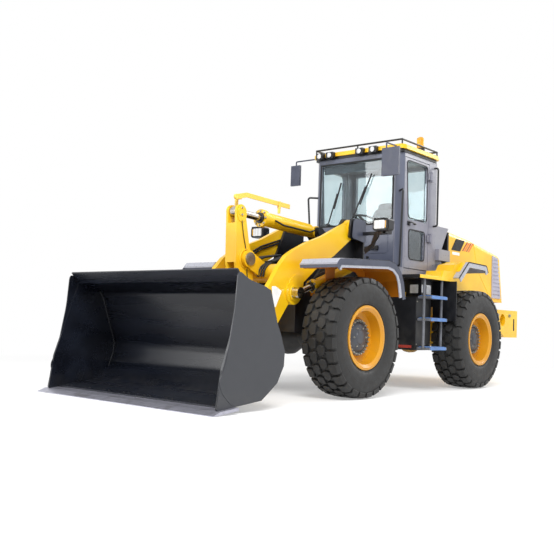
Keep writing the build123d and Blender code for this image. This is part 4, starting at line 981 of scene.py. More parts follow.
def level_bar():
    """Level bar of the bucket with its round end, bracketed on the tilt rod, and its guide on the barrel."""
    ahead, up = LEVEL_EYE
    with new_piece("level_bar", "tilt_rod", "pale", "yellow_paint", bevel=0.002) as mesh:
        line = [at(ahead, LEVEL_Y, up), at(900, LEVEL_Y, 2192), at(150, LEVEL_Y, 2163)]
        add_sweep(mesh, line, oblong(-0.006, 0.006, -0.027, 0.027), 0.05)
        add_rod(mesh, at(ahead, LEVEL_Y - 14, up), at(ahead, LEVEL_Y + 14, up), 0.03, 24)
        box_mm(mesh, (972, 1008), (-12, 12), (2052, 2152))
        box_mm(mesh, (976, 1004), (10, 66), (2132, 2150))
        box_mm(mesh, (976, 1004), (58, 62), (2132, 2180))
    with new_piece("level_guide", "tilt_barrel", "pale", "yellow_paint", bevel=0.002) as mesh:
        box_mm(mesh, (330, 352), (LEVEL_Y - 14, LEVEL_Y + 14), (2060, 2140))
        for inner, outer in ((54, 58), (74, 78)):
            box_mm(mesh, (322, 360), (inner, outer), (2120, 2200))


class LOADER_OT_linkage_fittings(bpy.types.Operator):
    """Keeper plates, doublers, glands, level bar, pipes, hoses and grease lines of the lifting gear"""
    bl_idname = "loader.linkage_fittings"
    bl_label = "Linkage fittings"

    def execute(self, context):
        """Fittings on the boom, bellcrank and cylinders."""
        for name, side in SIDES:
            arm_fittings(name, side)
        with new_piece("boom_keepers", "boom", ("yellow", "bolt"), "yellow_paint", bevel=0.002) as mesh:
            for side in (1, -1):
                keeper(mesh, LIFT_EYE, side * (BOOM_SIDE + 1), side, 0.085)
        bellcrank_fittings()
        gland("tilt_gland", TILT_BASE, TILT_EYE, 0, 1010.5, 62, 84, 8, "tilt_barrel")
        for name, side in SIDES:
            body = f"lift_barrel_{name}"
            gland(f"lift_gland_{name}", LIFT_BASE, LIFT_EYE, side * LIFT_Y, 850.5, 52, 62, 6, body)
            # hard pipe along the lift cylinder from its base to the gland
            with new_piece(f"lift_pipe_{name}", body, "dark", "dark_paint", 50) as mesh:
                pipe_mm(mesh, [(x, side * (LIFT_Y + 20), z) for x, z in LIFT_PIPE], 9, 30, 10)
        level_bar()
        with new_piece("tilt_hoses", "tilt_barrel", "hose", "black_plastic", 50) as mesh:
            for side in (1, -1):
                pipe_mm(mesh, [
                    (-300, side * 92, 1932), (-200, side * 108, 1902), (300, side * 108, 1924),
                    (430, side * 96, 1962),
                ], 11, 60, 10)
        return {"FINISHED"}


# ---------------------------------------------------------------- front frame
TOWER_ARCH = [(-425, 1836), (-455, 2062), (-560, 2078), (-715, 2068), (-722, 1800)]
# lines of the front fender as (ahead, up): face of its lip, inner skin over the tyre, and rubber edge
LIP_FACE = [(660, 1420), (610, 1486), (-330, 1540), (-457, 1518), (-570, 1446), (-632, 1333), (-676, 1150)]
INNER_SKIN = [(600, 1477), (-330, 1532), (-455, 1510), (-565, 1440), (-625, 1330), (-668, 1150)]
RUBBER_EDGE = [
    (664, 1415), (616, 1484), (520, 1497), (-330, 1548), (-462, 1526), (-578, 1452), (-640, 1336),
    (-684, 1150),
]
FENDER_INNER, FENDER_OUTER = 670, box_mm_of("front_fenders")[1].y
EDGE_SECTION = oblong(-0.004, 0.004, -0.008, 0.008)


class LOADER_OT_front_frame(bpy.types.Operator):
    """Hoses, tower arches, and the lip faces and linings of the front fenders darkened as painted shade, and
    their edges
    """
    bl_idname = "loader.front_frame"
    bl_label = "Front frame fittings"

    def execute(self, context):
        """Fittings that ride with the front frame."""
        # hoses from the tower's cross plate up to the tilt cylinder's base
        with new_piece("tower_hoses", "front_frame", "hose", "black_plastic", 50) as mesh:
            for y in (150, 188, 226, 264):
                route = [(-680, y, 1300), (-640, y, 1600), (-600, y - 20, 1790), (-520, y - 40, 1850)]
                pipe_mm(mesh, route, 13, 100, 10)
        # grey arch over the boom's pin
        with new_piece("tower_arches", "front_frame", "shell", "grey_paint", bevel=0.003) as mesh:
            for side in (1, -1):
                side_plate(mesh, rounded(TOWER_ARCH, 40), side * 564.5, side * 6)
        # slate faces on the outer and front lips of the fenders, darker than the silver top as painted shade
        # on the upright faces
        with new_piece("front_fender_shaded_lips", "front_frame", "shell", "grey_paint", 50) as mesh:
            for side in (1, -1):
                line = [at(x, side * (FENDER_OUTER + 2), z - 30) for x, z in LIP_FACE]
                add_sweep(mesh, line, oblong(-0.0015, 0.0015, -0.036, 0.03), 0.05)
                front_plate(mesh, oblong(side * 660, side * FENDER_OUTER, 1392, 1440), 660.5, 3)
        # inner face of the fenders, over the tyres, thickened towards the axle, in deep orange as painted
        # shade under the fenders
        axle = Vector((0, TYRE_RADIUS * 1000))
        near, far = ([Vector(p).lerp(axle, share) for p in INNER_SKIN] for share in (0.001, 0.006))
        with new_piece("front_fender_shade_linings", "front_frame", "deep", "yellow_paint", 30) as mesh:
            for side in (1, -1):
                for k in range(len(INNER_SKIN) - 1):
                    strip = [near[k], near[k + 1], far[k + 1], far[k]]
                    side_plate(mesh, strip, side * FENDER_INNER, side * 466)
        # worn rubber edge along the front fender's lip
        with new_piece("front_fender_edges", "front_frame", "seal", "black_plastic", 50) as mesh:
            for side in (1, -1):
                line = [at(x, side * (FENDER_OUTER - 3), z - 10) for x, z in RUBBER_EDGE]
                add_sweep(mesh, line, EDGE_SECTION, 0.05)
        return {"FINISHED"}


# ---------------------------------------------------------------- headlights
LAMP_Y, LAMP_Z = 954, 1978
LAMP_FACE = box_mm_of("headlights")[1].x
BEZEL_OUTLINE = [
    (-106, -50), (-106, 50), (-84, 70), (84, 70), (106, 50), (106, -50), (84, -70), (-84, -70),
]


def headlight(name, side):
    """Bezel with its shade, lens, indicator, strap and cable of one headlight."""
    def on_lamp(outline):
        """Places on the lamp's face from places about its middle."""
        return [(side * (LAMP_Y + a), LAMP_Z + b) for a, b in outline]

    with new_piece(f"headlight_bezel_{name}", "front_frame", "plastic", "black_plastic", bevel=0.002) as mesh:
        front_plate(mesh, rounded(on_lamp(BEZEL_OUTLINE), 8, 2), LAMP_FACE - 0.2, 10)
        box_mm(mesh, (-440, -412), (side * 870, side * 1038), (2046, 2051))
        for y in (868, 1040):
            box_mm(mesh, (-440, -424), (side * (y - 4), side * (y + 4)), (1925, 2046))
    with new_piece(f"headlight_lens_{name}", "front_frame", "clear", "glass", 40, 0.002) as mesh:
        front_plate(mesh, rounded(on_lamp(oblong(-84, 62, -50, 50)), 18, 4), LAMP_FACE + 9.8, 7)
    # indicator strip within the bezel, outside the lens
    with new_piece(f"side_lamp_{name}", "front_frame", "amber", "glass", 40, 0.001) as mesh:
        front_plate(mesh, oblong(side * 1020, side * 1036, 1936, 2020), LAMP_FACE + 9.8, 5)
    # flat strap that carries the lamp from the tower
    with new_piece(f"lamp_strap_{name}", "front_frame", "strap", "dark_paint", 50, 0.001) as mesh:
        line = [(-480, 930, 1906), (-560, 820, 1880), (-640, 720, 1760), (-690, 575, 1700)]
        section = oblong(-0.03, 0.03, -0.005, 0.005)
        add_sweep(mesh, [at(x, side * y, z) for x, y, z in line], section, 0.06, (1, 0, 0))
    with new_piece(f"headlight_cable_{name}", "front_frame", "hose", "black_plastic", 50) as mesh:
        line = [(-500, 900, 1912), (-520, 880, 1850), (-580, 800, 1800), (-600, 700, 1700)]
        pipe_mm(mesh, [(x, side * y, z) for x, y, z in line], 9, 40, 10)


class LOADER_OT_headlights(bpy.types.Operator):
    """Bezels, lenses and indicators of the headlights, with their straps and cables"""
    bl_idname = "loader.headlights"
    bl_label = "Headlights"

    def execute(self, context):
        """A pair, on the front frame's lamp arms."""
        for name, side in SIDES:
            headlight(name, side)
        return {"FINISHED"}


# ---------------------------------------------------------------- cab
CAB_FRONT = box_mm_of("cab_frame")[1].x
DOOR_FACE = 690
# outer lines of a door's two seals, as (ahead, up)
UPPER_SEAL = [(-1434, 2954), (-1976, 2954), (-1976, 2199), (-1491, 2199)]
LOWER_SEAL = [(-1506, 2069), (-1929, 2069), (-1929, 1671), (-1521, 1671)]
SCREEN_BACK = -2234  # outer side of the rear window's seal
WIPER_ARM = [(-0.009, -0.005), (0.009, -0.005), (0.006, 0.005), (-0.006, 0.005)]
WIPER_BLADE = [(-0.011, -0.004), (0.011, -0.004), (0.005, 0.009), (-0.005, 0.009)]


def add_seal(mesh, outline, left, side, width=14, thick=7):
    """Rubber seal of a side pane: a flat ring along an outline of (ahead, up)."""
    middle = sum((Vector(p) for p in outline), Vector((0, 0))) / len(outline)
    outer = rounded(outline, 60, 5)
    ring = [tuple(Vector(p) + (middle - Vector(p)).normalized() * width) for p in outer]
    for first in range(len(outer)):
        second = (first + 1) % len(outer)
        side_plate(mesh, [outer[first], outer[second], ring[second], ring[first]], left, side * thick)


def front_panel():
    """Pressed panel under the windscreen, the screen's surround, the slanted posts and the latches."""
    surround = CAB_FRONT + 0.3
    with new_piece("cab_front_panel", "rear_frame", "slate", "grey_paint", bevel=0.002) as mesh:
        front_plate(mesh, rounded(oblong(-604, 604, 1560, 2105), 40, 4), surround, 6)
        front_plate(mesh, rounded(oblong(-520, 520, 1740, 2040), 40, 4), surround + 6.1, 5)
        for side in (1, -1):
            front_plate(mesh, oblong(side * 590, side * 611, 2105, 3038), surround, 5)
            post = [(-1299.7, 612), (-1384.7, 690.4), (-1382.7, 692.6), (-1297.7, 614.2)]
            add_prism(mesh, [at(x, side * y, 1562) for x, y in post], (0, 0, 1.476))
        front_plate(mesh, oblong(-590, 590, 2982, 3038), surround, 5)
    with new_piece("panel_latches", "rear_frame", "plastic", "black_plastic", bevel=0.003) as mesh:
        box_mm(mesh, (-1292, -1268), (108, 388), (1790, 1832))
        for y in (130, 366):
            box_mm(mesh, (-1292, -1262), (y - 16, y + 16), (1782, 1840))
        for y, up in ((223, 1690), (262, 1652)):
            add_rod(mesh, at(-1294, y, up), at(-1272, y, up), 0.017, 20)


def screen_seals():
    """Seals round the windscreen and the rear window, upright strips first."""
    with new_piece("screen_seals", "rear_frame", "seal", "black_plastic", bevel=0.003) as mesh:
        for left, right in ((-590, -566), (566, 590)):
            box_mm(mesh, (CAB_FRONT + 0.4, CAB_FRONT + 10), (left, right), (2114, 2981))
        for low, high in ((2114, 2136), (2959, 2981)):
            box_mm(mesh, (CAB_FRONT + 0.5, CAB_FRONT + 9.5), (-566, 566), (low, high))
        for side in (1, -1):
            box_mm(mesh, (SCREEN_BACK, SCREEN_BACK + 8.6), (side * 610 - 12, side * 610 + 12), (2268, 2972))
        for low, high in ((2262, 2284), (2956, 2978)):
            box_mm(mesh, (SCREEN_BACK, SCREEN_BACK + 8.5), (-598, 598), (low, high))


def wipers():
    """Two front wipers with pivot, arm and a long blade, and a plain one on the rear window."""
    with new_piece("wipers", "rear_frame", "plastic", "black_plastic") as mesh:
        for y, lean, drop in ((-60, 300, 640), (-430, 190, 560)):
            foot, tip = at(-1286, y, 2148), at(-1281, y + lean, 2148 + drop)
            add_rod(mesh, foot - Vector((0.014, 0, 0)), foot + Vector((0.016, 0, 0)), 0.021, 20)
            add_sweep(mesh, [foot, foot.lerp(tip, 0.72)], WIPER_ARM, 0.01, (1, 0, 0))
            low = at(-1288, y + lean * 0.42 + 14, 2148 + drop * 0.38)
            high = at(-1288, y + lean * 1.04, 2148 + drop)
            add_sweep(mesh, [low, high], WIPER_BLADE, 0.01, (1, 0, 0))
            add_rod(mesh, foot.lerp(tip, 0.7), foot.lerp(tip, 0.74) - Vector((0.006, 0, 0)), 0.012, 12)
        foot = at(-2240, 0, 2262)
        add_rod(mesh, foot + Vector((0.014, 0, 0)), foot - Vector((0.016, 0, 0)), 0.018, 20)
        add_sweep(mesh, [foot, at(-2242, 230, 2700)], WIPER_ARM, 0.01, (1, 0, 0))


def door_fittings(name, side):
    """Seals round both panes, handle with its lock, and hinge straps of one door."""
    body = f"door_{name}"
    face = side * (DOOR_FACE + 0.2)
    with new_piece(f"door_seals_{name}", body, "seal", "black_plastic") as mesh:
        for outline in (UPPER_SEAL, LOWER_SEAL):
            add_seal(mesh, outline, side * (DOOR_FACE + 0.3), side)
    with new_piece(f"door_handle_{name}", body, "plastic", "black_plastic", bevel=0.002) as mesh:
        grip = [(-1512, 0, 2150), (-1512, 38, 2150), (-1640, 38, 2136), (-1640, 0, 2136)]
        pipe_mm(mesh, [(x, side * (DOOR_FACE + out), z) for x, out, z in grip], 9, 16, 10)
        box_mm(mesh, (-1545, -1478), (face, side * (DOOR_FACE + 10)), (2108, 2166))
        inner, outer = (at(-1500, side * (DOOR_FACE + out), 2120) for out in (9, 22))
        add_rod(mesh, inner, outer, 0.013, 20)
    with new_piece(f"door_hinge_straps_{name}", body, ("dark", "bolt"), "dark_paint", bevel=0.002) as mesh:
        for up in (1990, 2820):
            box_mm(mesh, (-2030, -1975), (face, side * (DOOR_FACE + 10)), (up - 42, up + 42))
            for shift in (-24, 24):
                foot = at(-1995, side * (DOOR_FACE + 10), up + shift)
                add_bolt(mesh, foot, (0, side, 0), 0.014, 0.01, finish=1)


class LOADER_OT_cab_fittings(bpy.types.Operator):
    """Front panel, seals, wipers, latch bar, door handles and hinge straps of the cab"""
    bl_idname = "loader.cab_fittings"
    bl_label = "Cab fittings"

    def execute(self, context):
        """Fittings that ride with the cab and its doors."""
        front_panel()
        screen_seals()
        wipers()
        for name, side in SIDES:
            door_fittings(name, side)
        return {"FINISHED"}


# ---------------------------------------------------------------- driver's place
CHANNEL_AT, CHANNEL_WIDTH, CHANNEL_DEPTH = 0.62, 0.07, 0.1  # shares of a cushion's half width and thickness
WHEEL_HUB = (-1550, 0, 2190)
LEVERS = (-1600, -1650, -1700)


def cushion(name, middle, size, crown, round_edge):
    """Padded block: a subdivided box with crowned faces, pulled-in corners and two sewn channels."""
    mesh = bmesh.new()
    bmesh.ops.create_cube(mesh, size=1.0)
    bmesh.ops.subdivide_edges(mesh, edges=mesh.edges[:], cuts=15, use_grid_fill=True)
    size = Vector(size)
    thin = 0 if size.x < size.z else 2
    for vert in mesh.verts:
        p = vert.co * 2
        reach = [1 - abs(c) ** 4 for c in p]
        swell = (
            1 + crown * reach[1] * reach[2],
            1 + crown * 0.6 * reach[0] * reach[2],
            1 + crown * reach[0] * reach[1],
        )
        corner = 1 - round_edge * (abs(p.x * p.y) ** 6 + abs(p.y * p.z) ** 6 + abs(p.x * p.z) ** 6) / 3
        channel = 1 - CHANNEL_DEPTH * math.exp(-((abs(p.y) - CHANNEL_AT) / CHANNEL_WIDTH) ** 2)
        place = Vector(
            p[i] * size[i] / 2 * swell[i] * corner * (channel if i == thin else 1) for i in range(3)
        )
        vert.co = place + Vector(middle)
    piece = make_piece(name, mesh, "rear_frame", "vinyl", 0)
    modifier = piece.modifiers.new("smooth", "SUBSURF")
    modifier.levels = modifier.render_levels = 1
    piece.data.shade_smooth()
    return piece


def driver_seat():
    """Cushion, back and head rest on a pedestal, in place of the plain seat."""
    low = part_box("seat")[0]
    padding = [
        cushion("seat_cushion", (low.x + 0.32, 0, 1.915), (0.44, 0.46, 0.10), 0.12, 0.25),
        cushion("seat_back", (low.x + 0.062, 0, 2.19), (0.10, 0.43, 0.48), 0.12, 0.25),
        cushion("head_rest", (low.x + 0.06, 0, 2.47), (0.085, 0.26, 0.1), 0.1, 0.3),
    ]
    with new_piece("seat_pedestal", "rear_frame", "plastic", "black_plastic", bevel=0.008) as mesh:
        add_box(mesh, (low.x + 0.2, -0.14, low.z), (low.x + 0.44, 0.14, 1.84))
        add_box(mesh, (low.x + 0.12, -0.2, 1.835), (low.x + 0.5, 0.2, 1.866))
        for y in (-0.06, 0.06):
            add_rod(mesh, (low.x + 0.06, y, 2.38), (low.x + 0.06, y, 2.46), 0.007, 10)
    for piece in padding:
        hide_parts("seat")


def steering_hub():
    """Hub and three spokes of the steering wheel, tilted as its rim is."""
    hub = at(*WHEEL_HUB)
    axis = Vector((-0.45, 0, 1)).normalized()
    across = Vector((0, 1, 0))
    square = axis.cross(across)
    with new_piece("wheel_hub", "rear_frame", "plastic", "black_plastic", bevel=0.003) as mesh:
        add_rod(mesh, hub - axis * 0.03, hub + axis * 0.014, 0.045, 32)
        for angle in circle(3, 0.75):
            spoke = square * math.cos(angle) + across * math.sin(angle)
            add_rod(mesh, hub + spoke * 0.03, hub + spoke * 0.178, 0.011, 10)


class LOADER_OT_seat_and_wheel(bpy.types.Operator):
    """Padded seat on its pedestal, gauge pod, steering wheel hub, side console and sun visor"""
    bl_idname = "loader.seat_and_wheel"
    bl_label = "Seat and steering wheel"

    def execute(self, context):
        """Driver's place in front of the rear window."""
        driver_seat()
        pod = rounded([(-1500, 2010), (-1420, 2105), (-1395, 2090), (-1400, 2000)], 12, 3)
        with new_piece("gauge_pod", "rear_frame", "dash", "black_plastic", bevel=0.004) as mesh:
            side_plate(mesh, pod, -150, 300)
        steering_hub()
        # control console on the right, with its levers
        with new_piece("side_console", "rear_frame", "dash", "black_plastic", bevel=0.006) as mesh:
            box_mm(mesh, (-1960, -1560), (-430, -300), (1961, 2090))
            for ahead in LEVERS:
                add_rod(mesh, at(ahead, -365, 2088), at(ahead + 12, -365, 2175), 0.006, 10)
                add_rod(mesh, at(ahead + 11, -365, 2168), at(ahead + 16, -365, 2205), 0.015, 16, 0.011)
        with new_piece("sun_visor", "rear_frame", "dash", "black_plastic", bevel=0.002) as mesh:
            front_plate(mesh, rounded(oblong(-560, 560, 2850, 2958), 20, 4), -1352, -4)
        return {"FINISHED"}


# ---------------------------------------------------------------- roof
LAMPS_REAR, LAMPS_FRONT = (corner.x for corner in box_mm_of("work_lamps"))
LAMP_ROWS = ((LAMPS_FRONT + 0.3, 1, (-560, -390, 90, 300)), (LAMPS_REAR - 0.3, -1, (-560, -390, 390, 560)))
LAMP_UP = 3090
LAMP_RING = [(0.0, 0.04), (0.0, 0.036), (0.007, 0.0355), (0.007, 0.04)]
LAMP_BOWL = [(0.0002, 0.036), (0.005, 0.034), (0.009, 0.022), (0.0105, 0.0)]


class LOADER_OT_roof_fittings(bpy.types.Operator):
    """Rings and lenses of the work lamps, the beacon's foot and the mirror glasses"""
    bl_idname = "loader.roof_fittings"
    bl_label = "Roof fittings"

    def execute(self, context):
        """Fittings on the cab's roof and on the mirrors."""
        places = [(at(ahead, y, LAMP_UP), out) for ahead, out, row in LAMP_ROWS for y in row]
        with new_piece("roof_lamp_rings", "rear_frame", "plastic", "black_plastic", 40) as mesh:
            for centre, out in places:
                add_lathe(mesh, LAMP_RING, centre, (out, 0, 0), 32)
        with new_piece("roof_lamp_lenses", "rear_frame", "clear", "glass", 40) as mesh:
            for centre, out in places:
                add_lathe(mesh, LAMP_BOWL, centre, (out, 0, 0), 32, closed=False)
        with new_piece("beacon_foot", "rear_frame", "plastic", "black_plastic", 40, 0.003) as mesh:
            add_rod(mesh, at(-2180, 450, 3224.6), at(-2180, 450, 3270), 0.064, 40)
        # mirror glasses look back along the machine
        with new_piece("mirror_glasses", "rear_frame", "mirror", "glass", 0) as mesh:
            front_plate(mesh, rounded(oblong(578, 798, 2700, 3018), 22, 4), -1066.4, 1.2)
            front_plate(mesh, rounded(oblong(-1178, -1042, 2778, 3032), 22, 4), -1416.4, 1.2)
        return {"FINISHED"}


# ---------------------------------------------------------------- hood
HOOD_SIDE = box_mm_of("engine_hood")[1].y
LOUVRE_FRAME = [(-2994, 2098), (-3270, 2092), (-3128, 1925), (-2855, 1925)]
LOUVRES, LOUVRE_LOW, LOUVRE_RISE = 9, 1925, 167
STRIPE = [(-3340, 2082), (-3378, 2081), (-3225, 1939), (-3188, 1940)]
STRIPE_STEP = 62
CREASE = [(-3560, 2070), (-3700, 1700), (-4160, 1300)]
# the hood's sloping back: its foot as (ahead, up), and how far it leans forwards for each millimetre up
HOOD_FOOT, HOOD_SLOPE = (-4590, 1240), (4590 - 4450) / (1990 - 1240)
SLATS, SLAT_STEP = 17, 36


def on_back(up):
    """How far ahead the hood's sloping back stands at a height."""
    return HOOD_FOOT[0] + HOOD_SLOPE * (up - HOOD_FOOT[1])


def hood_side(name, side):
    """Louvre panel, blank plate, stripes, catches and crease of one side of the hood."""
    face = side * (HOOD_SIDE + 0.3)
    with new_piece(f"louvres_{name}", "hood", "plastic", "black_plastic") as mesh:
        side_plate(mesh, rounded(LOUVRE_FRAME, 18, 3), face, side * 2)
        for number in range(LOUVRES):
            share = (number + 0.6) / (LOUVRES + 0.4)
            low, high = (LOUVRE_LOW + LOUVRE_RISE * share + edge for edge in (-4, 5))
            front, rear = -2868 - 132 * share, -3118 - 140 * share
            slat = [(front, low), (front - 6, high), (rear - 6, high), (rear, low)]
            side_plate(mesh, slat, side * (HOOD_SIDE + 2.2), side * 5)
    with new_piece(f"hood_plate_{name}", "hood", "film", "yellow_paint", 0) as mesh:
        side_plate(mesh, rounded(oblong(-2894, -3110, 1862, 1902), 8, 3), face, side * 0.8)
    for number, key in enumerate(("red", "orange", "red", "orange")):
        shift = STRIPE_STEP * number
        with new_piece(f"stripe_{name}_{shift}", "hood", key, "yellow_paint", 0) as mesh:
            side_plate(mesh, [(x - shift, z) for x, z in STRIPE], face, side * 0.8)
    with new_piece(f"hood_catches_{name}", "hood", "dark", "dark_paint", bevel=0.003) as mesh:
        for ahead in (-3000, -3900):
            plate, low, high = (side * (HOOD_SIDE + out) for out in (0.2, 8, 14))
            box_mm(mesh, (ahead - 45, ahead + 45), (plate, side * (HOOD_SIDE + 9)), (1276, 1316))
            add_rod(mesh, at(ahead, low, 1296), at(ahead, high, 1296), 0.015, 20)
    # pressed crease that falls towards the counterweight
    with new_piece(f"hood_crease_{name}", "hood", "yellow", "yellow_paint", 60) as mesh:
        pipe_mm(mesh, [(x, side * (HOOD_SIDE - 2), z) for x, z in CREASE], 6, 200, 8)


def radiator_grille():
    """Slats, side strips and dark mesh of the radiator's grille on the hood's sloping back."""
    with new_piece("radiator_grille", "hood", "lilac", "dark_paint", bevel=0.002) as mesh:
        for number in range(SLATS):
            up = 1330 + SLAT_STEP * number
            box_mm(mesh, (on_back(up) - 8, on_back(up) + 1), (-430, 430), (up - 9, up + 9))
        low, high = on_back(1300), on_back(1940)
        for y in (-448, 448):
            side_plate(mesh, [(low, 1300), (high, 1940), (high - 9, 1940), (low - 9, 1300)], y - 18, 36)
    with new_piece("radiator_mesh", "hood", "plastic", "black_plastic", 0) as mesh:
        low, high = on_back(1304), on_back(1936)
        sheet = [(low - 0.4, 1304), (high - 0.4, 1936), (high - 3, 1936), (low - 3, 1304)]
        side_plate(mesh, sheet, -432, 864)


class LOADER_OT_hood_fittings(bpy.types.Operator):
    """Louvres, stripes, blank plates, catches, creases and the radiator's grille"""
    bl_idname = "loader.hood_fittings"
    bl_label = "Hood fittings"

    def execute(self, context):
        """Fittings that ride with the hood."""
        for name, side in SIDES:
            hood_side(name, side)
        radiator_grille()
        return {"FINISHED"}


# ---------------------------------------------------------------- counterweight
WEIGHT_REAR, WEIGHT_SIDE = box_mm_of("counterweight")[0].x, box_mm_of("counterweight")[1].y


class LOADER_OT_tail_fittings(bpy.types.Operator):
    """Tail lamps, the bolts of the counterweight, and black plates that paint the shade of its slots"""
    bl_idname = "loader.tail_fittings"
    bl_label = "Tail fittings"

    def execute(self, context):
        """Fittings on the back of the machine."""
        for name, side in SIDES:
            with new_piece(
                f"tail_lamp_frame_{name}", "rear_frame", "plastic", "black_plastic", bevel=0.002
            ) as mesh:
                frame_line = rounded(oblong(side * 560, side * 760, 1000, 1075), 14, 4)
                front_plate(mesh, frame_line, WEIGHT_REAR + 0.2, -6)
            for key, inner, outer in (("tail", 568, 655), ("amber", 661, 752)):
                with new_piece(f"tail_lens_{key}_{name}", "rear_frame", key, "glass", 40, 0.002) as mesh:
                    lens_line = rounded(oblong(side * inner, side * outer, 1008, 1067), 10, 4)
                    front_plate(mesh, lens_line, WEIGHT_REAR - 5.9, -8)
            # a flat black plate on the side stands for the slot: painted shade of its recess
            with new_piece(f"weight_slot_shade_{name}", "rear_frame", "seal", "black_plastic", 0) as mesh:
                slot = rounded(oblong(-4335, -4375, 800, 985), 16, 4)
                side_plate(mesh, slot, side * (WEIGHT_SIDE + 0.2), side * 2)
            with new_piece(f"weight_bolts_{name}", "rear_frame", "bolt", "pin_steel") as mesh:
                for ahead in (-3760, -4180):
                    add_bolt(mesh, at(ahead, side * WEIGHT_SIDE, 1030), (0, side, 0), 0.04, 0.022)
        return {"FINISHED"}


# ---------------------------------------------------------------- steps, side boxes and platforms
BOX_SIDE = box_mm_of("side_boxes")[1].y
PLATFORM_SIDE, DECK = box_mm_of("platforms")[1].y, box_mm_of("platforms")[1].z
LADDER_SIDE = box_mm_of("ladders")[1].y
REAR_FENDER_SIDE = box_mm_of("rear_fenders")[1].y
# panels, screws and blank plates of the box, as (front, rear, low, high) and (ahead, up)
BOX_PANELS = ((-1478, -1672, 560, 1180), (-1684, -1847, 560, 1400), (-1594, -1676, 1196, 1400))
BOX_SCREWS = (
    (-1496, 590), (-1654, 590), (-1496, 1130), (-1654, 1130),
    (-1702, 590), (-1829, 590), (-1702, 1350), (-1829, 1350),
)
BOX_BLANKS = ((-1598, -1672, 1250, 1352), (-1722, -1838, 1232, 1352))
STEP_TOPS = (555, 920, 1200)
GRIP_ROWS, GRIP_COLUMNS = 9, 16
# parts of the wedge before the rear fender as (outline of (ahead, up), inner face, width)
WEDGE_PARTS = (
    ([(-1890, 1461), (-2070, 1546), (-2300, 1591), (-2272, 1541), (-2182, 1461)], 1000.3, 4),
    ([(-1886, 1463), (-2070, 1550), (-2285, 1592), (-2285, 1590), (-2070, 1547), (-1886, 1460.3)],
     752, 252),
    ([(-2246, 1560), (-2415, 1701.5), (-2948, 1693.5), (-2948, 1696), (-2415, 1704), (-2246, 1563)],
     752, 300),
    ([(-1850, 1461), (-1896, 1551), (-2120, 1553), (-2205, 1650), (-2440, 1706), (-2300, 1600),
      (-2180, 1461)], 752, 251),
)
REAR_FENDER_EDGE = [(-2150, 1475), (-2250, 1560), (-2415, 1700), (-2950, 1692), (-3010, 1600)]


def box_fittings(name, side):
    """Cover panels with their screws, blank plates and the reflector of one side box."""
    cover = side * (BOX_SIDE + 3)
    with new_piece(f"box_panels_{name}", "rear_frame", "dark", "dark_paint", bevel=0.0015) as mesh:
        for front, rear, low, high in BOX_PANELS:
            panel = rounded(oblong(front, rear, low, high), 16, 3)
            side_plate(mesh, panel, side * (BOX_SIDE + 0.3), side * 3)
    with new_piece(f"box_screws_{name}", "rear_frame", "bolt", "pin_steel") as mesh:
        for ahead, up in BOX_SCREWS:
            add_bolt(mesh, at(ahead, cover, up), (0, side, 0), 0.014, 0.008)
    with new_piece(f"box_blanks_{name}", "rear_frame", "film", "dark_paint", 0) as mesh:
        for front, rear, low, high in BOX_BLANKS:
            side_plate(mesh, rounded(oblong(front, rear, low, high), 8, 3), cover + side * 0.4, side * 0.8)
    with new_piece(f"box_front_blank_{name}", "rear_frame", "film", "dark_paint", 0) as mesh:
        front_plate(mesh, rounded(oblong(side * 690, side * 810, 1240, 1350), 8, 3), -1589.7, 0.8)
    # red reflector strip low on the box's front
    with new_piece(f"box_reflector_{name}", "rear_frame", "red", "dark_paint", 0) as mesh:
        box_mm(mesh, (-1469.8, -1466), (side * 560, side * 800), (540, 575))


def step_treads(name, side):
    """Blue treads over the ladder's steps, with raised grip strips and a folded front."""
    with new_piece(f"step_treads_{name}", "rear_frame", "step", "dark_paint", bevel=0.001) as mesh:
        for up in STEP_TOPS:
            box_mm(mesh, (-1905, -1505), (side * 874, side * 1046), (up + 0.3, up + 6))
            for y in range(886, 1040, 24):
                box_mm(mesh, (-1895, -1515), (side * y, side * (y + 8)), (up + 5, up + 11))
            front = (side * (LADDER_SIDE + 0.3), side * (LADDER_SIDE + 6))
            box_mm(mesh, (-1905, -1505), front, (up - 32, up + 6))


def platform_fittings(name, side):
    """Nosing and grip studs of one platform, and the wedge and rubber edge at its rear fender."""
    with new_piece(f"platform_nosing_{name}", "rear_frame", "yellow", "yellow_paint", bevel=0.002) as mesh:
        nosing = (side * (PLATFORM_SIDE + 0.3), side * (PLATFORM_SIDE + 6))
        box_mm(mesh, (-2228, -1292), nosing, (DECK - 42, DECK + 2))
    with new_piece(f"platform_grips_{name}", "rear_frame", "dark", "dark_paint") as mesh:
        for row in range(GRIP_ROWS):
            for column in range(GRIP_COLUMNS):
                centre = at(-1320 - 34 * column, side * (760 + 26 * row), DECK - 1)
                add_rod(mesh, centre, centre + Vector((0, 0, 0.005)), 0.008, 8)
    with new_piece(f"fender_wedge_{name}", "rear_frame", "yellow", "yellow_paint") as mesh:
        for outline, inner, width in WEDGE_PARTS:
            side_plate(mesh, outline, side * inner, side * width)
    with new_piece(f"rear_fender_edge_{name}", "rear_frame", "seal", "black_plastic", 50) as mesh:
        line = [at(x, side * (REAR_FENDER_SIDE - 3), z - 4) for x, z in REAR_FENDER_EDGE]
        add_sweep(mesh, line, EDGE_SECTION, 0.05)


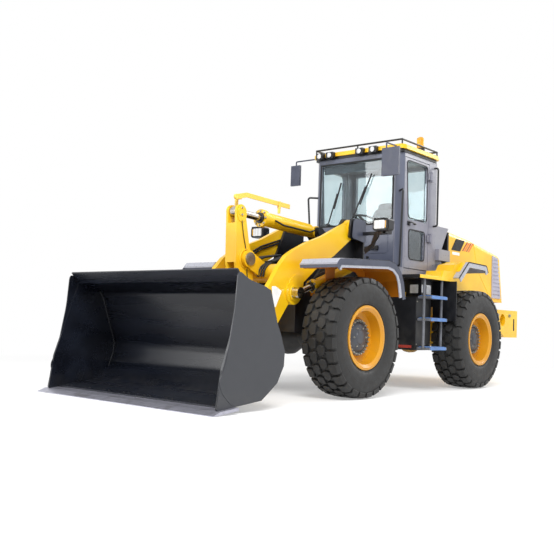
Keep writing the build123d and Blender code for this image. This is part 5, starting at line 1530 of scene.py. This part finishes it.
class LOADER_OT_side_fittings(bpy.types.Operator):
    """Box panels, blank plates, reflectors, step treads, and platform and fender trim of the sides"""
    bl_idname = "loader.side_fittings"
    bl_label = "Side fittings"

    def execute(self, context):
        """Fittings on the rear frame's sides."""
        for name, side in SIDES:
            box_fittings(name, side)
            step_treads(name, side)
            platform_fittings(name, side)
            # bolts that hold the ladder's steps
            with new_piece(f"step_bolts_{name}", "rear_frame", "bolt", "pin_steel") as mesh:
                for up in STEP_TOPS:
                    for ahead in (-1480, -1930):
                        add_bolt(mesh, at(ahead, side * 977, up - 15), (0, side, 0), 0.02, 0.012)
        return {"FINISHED"}


# ---------------------------------------------------------------- panel and registration
OPERATORS = (
    LOADER_OT_stage, LOADER_OT_finishes, LOADER_OT_tyres, LOADER_OT_wheel_fittings, LOADER_OT_bucket_fittings,
    LOADER_OT_linkage_fittings, LOADER_OT_front_frame, LOADER_OT_headlights, LOADER_OT_cab_fittings,
    LOADER_OT_seat_and_wheel, LOADER_OT_roof_fittings, LOADER_OT_hood_fittings, LOADER_OT_tail_fittings,
    LOADER_OT_side_fittings,
)


class LOADER_PT_panel(bpy.types.Panel):
    """Buttons for every group of pieces, and their settings"""
    bl_idname = "LOADER_PT_panel"
    bl_label = "Wheel loader"
    bl_space_type = "VIEW_3D"
    bl_region_type = "UI"
    bl_category = "Loader"

    def draw(self, context):
        """Lists the settings and the operators."""
        for group in (context.scene.loader_colours, context.scene.loader_sizes):
            for key in group.bl_rna.properties.keys():
                if key not in ("rna_type", "name"):
                    self.layout.prop(group, key)
        for operator in OPERATORS:
            self.layout.operator(operator.bl_idname)


CLASSES = (LoaderColours, LoaderSizes, *OPERATORS, LOADER_PT_panel)


def register():
    """Registers the classes and their settings."""
    for item in CLASSES:
        bpy.utils.register_class(item)
    bpy.types.Scene.loader_colours = PointerProperty(type=LoaderColours)
    bpy.types.Scene.loader_sizes = PointerProperty(type=LoaderSizes)


def unregister():
    """Takes the settings and the classes back out."""
    del bpy.types.Scene.loader_sizes
    del bpy.types.Scene.loader_colours
    for item in reversed(CLASSES):
        bpy.utils.unregister_class(item)


def main():
    """Registers the add-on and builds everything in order."""
    register()
    for operator in OPERATORS:
        group, name = operator.bl_idname.split(".")
        getattr(getattr(bpy.ops, group), name)()


if __name__ == "__main__":
    main()
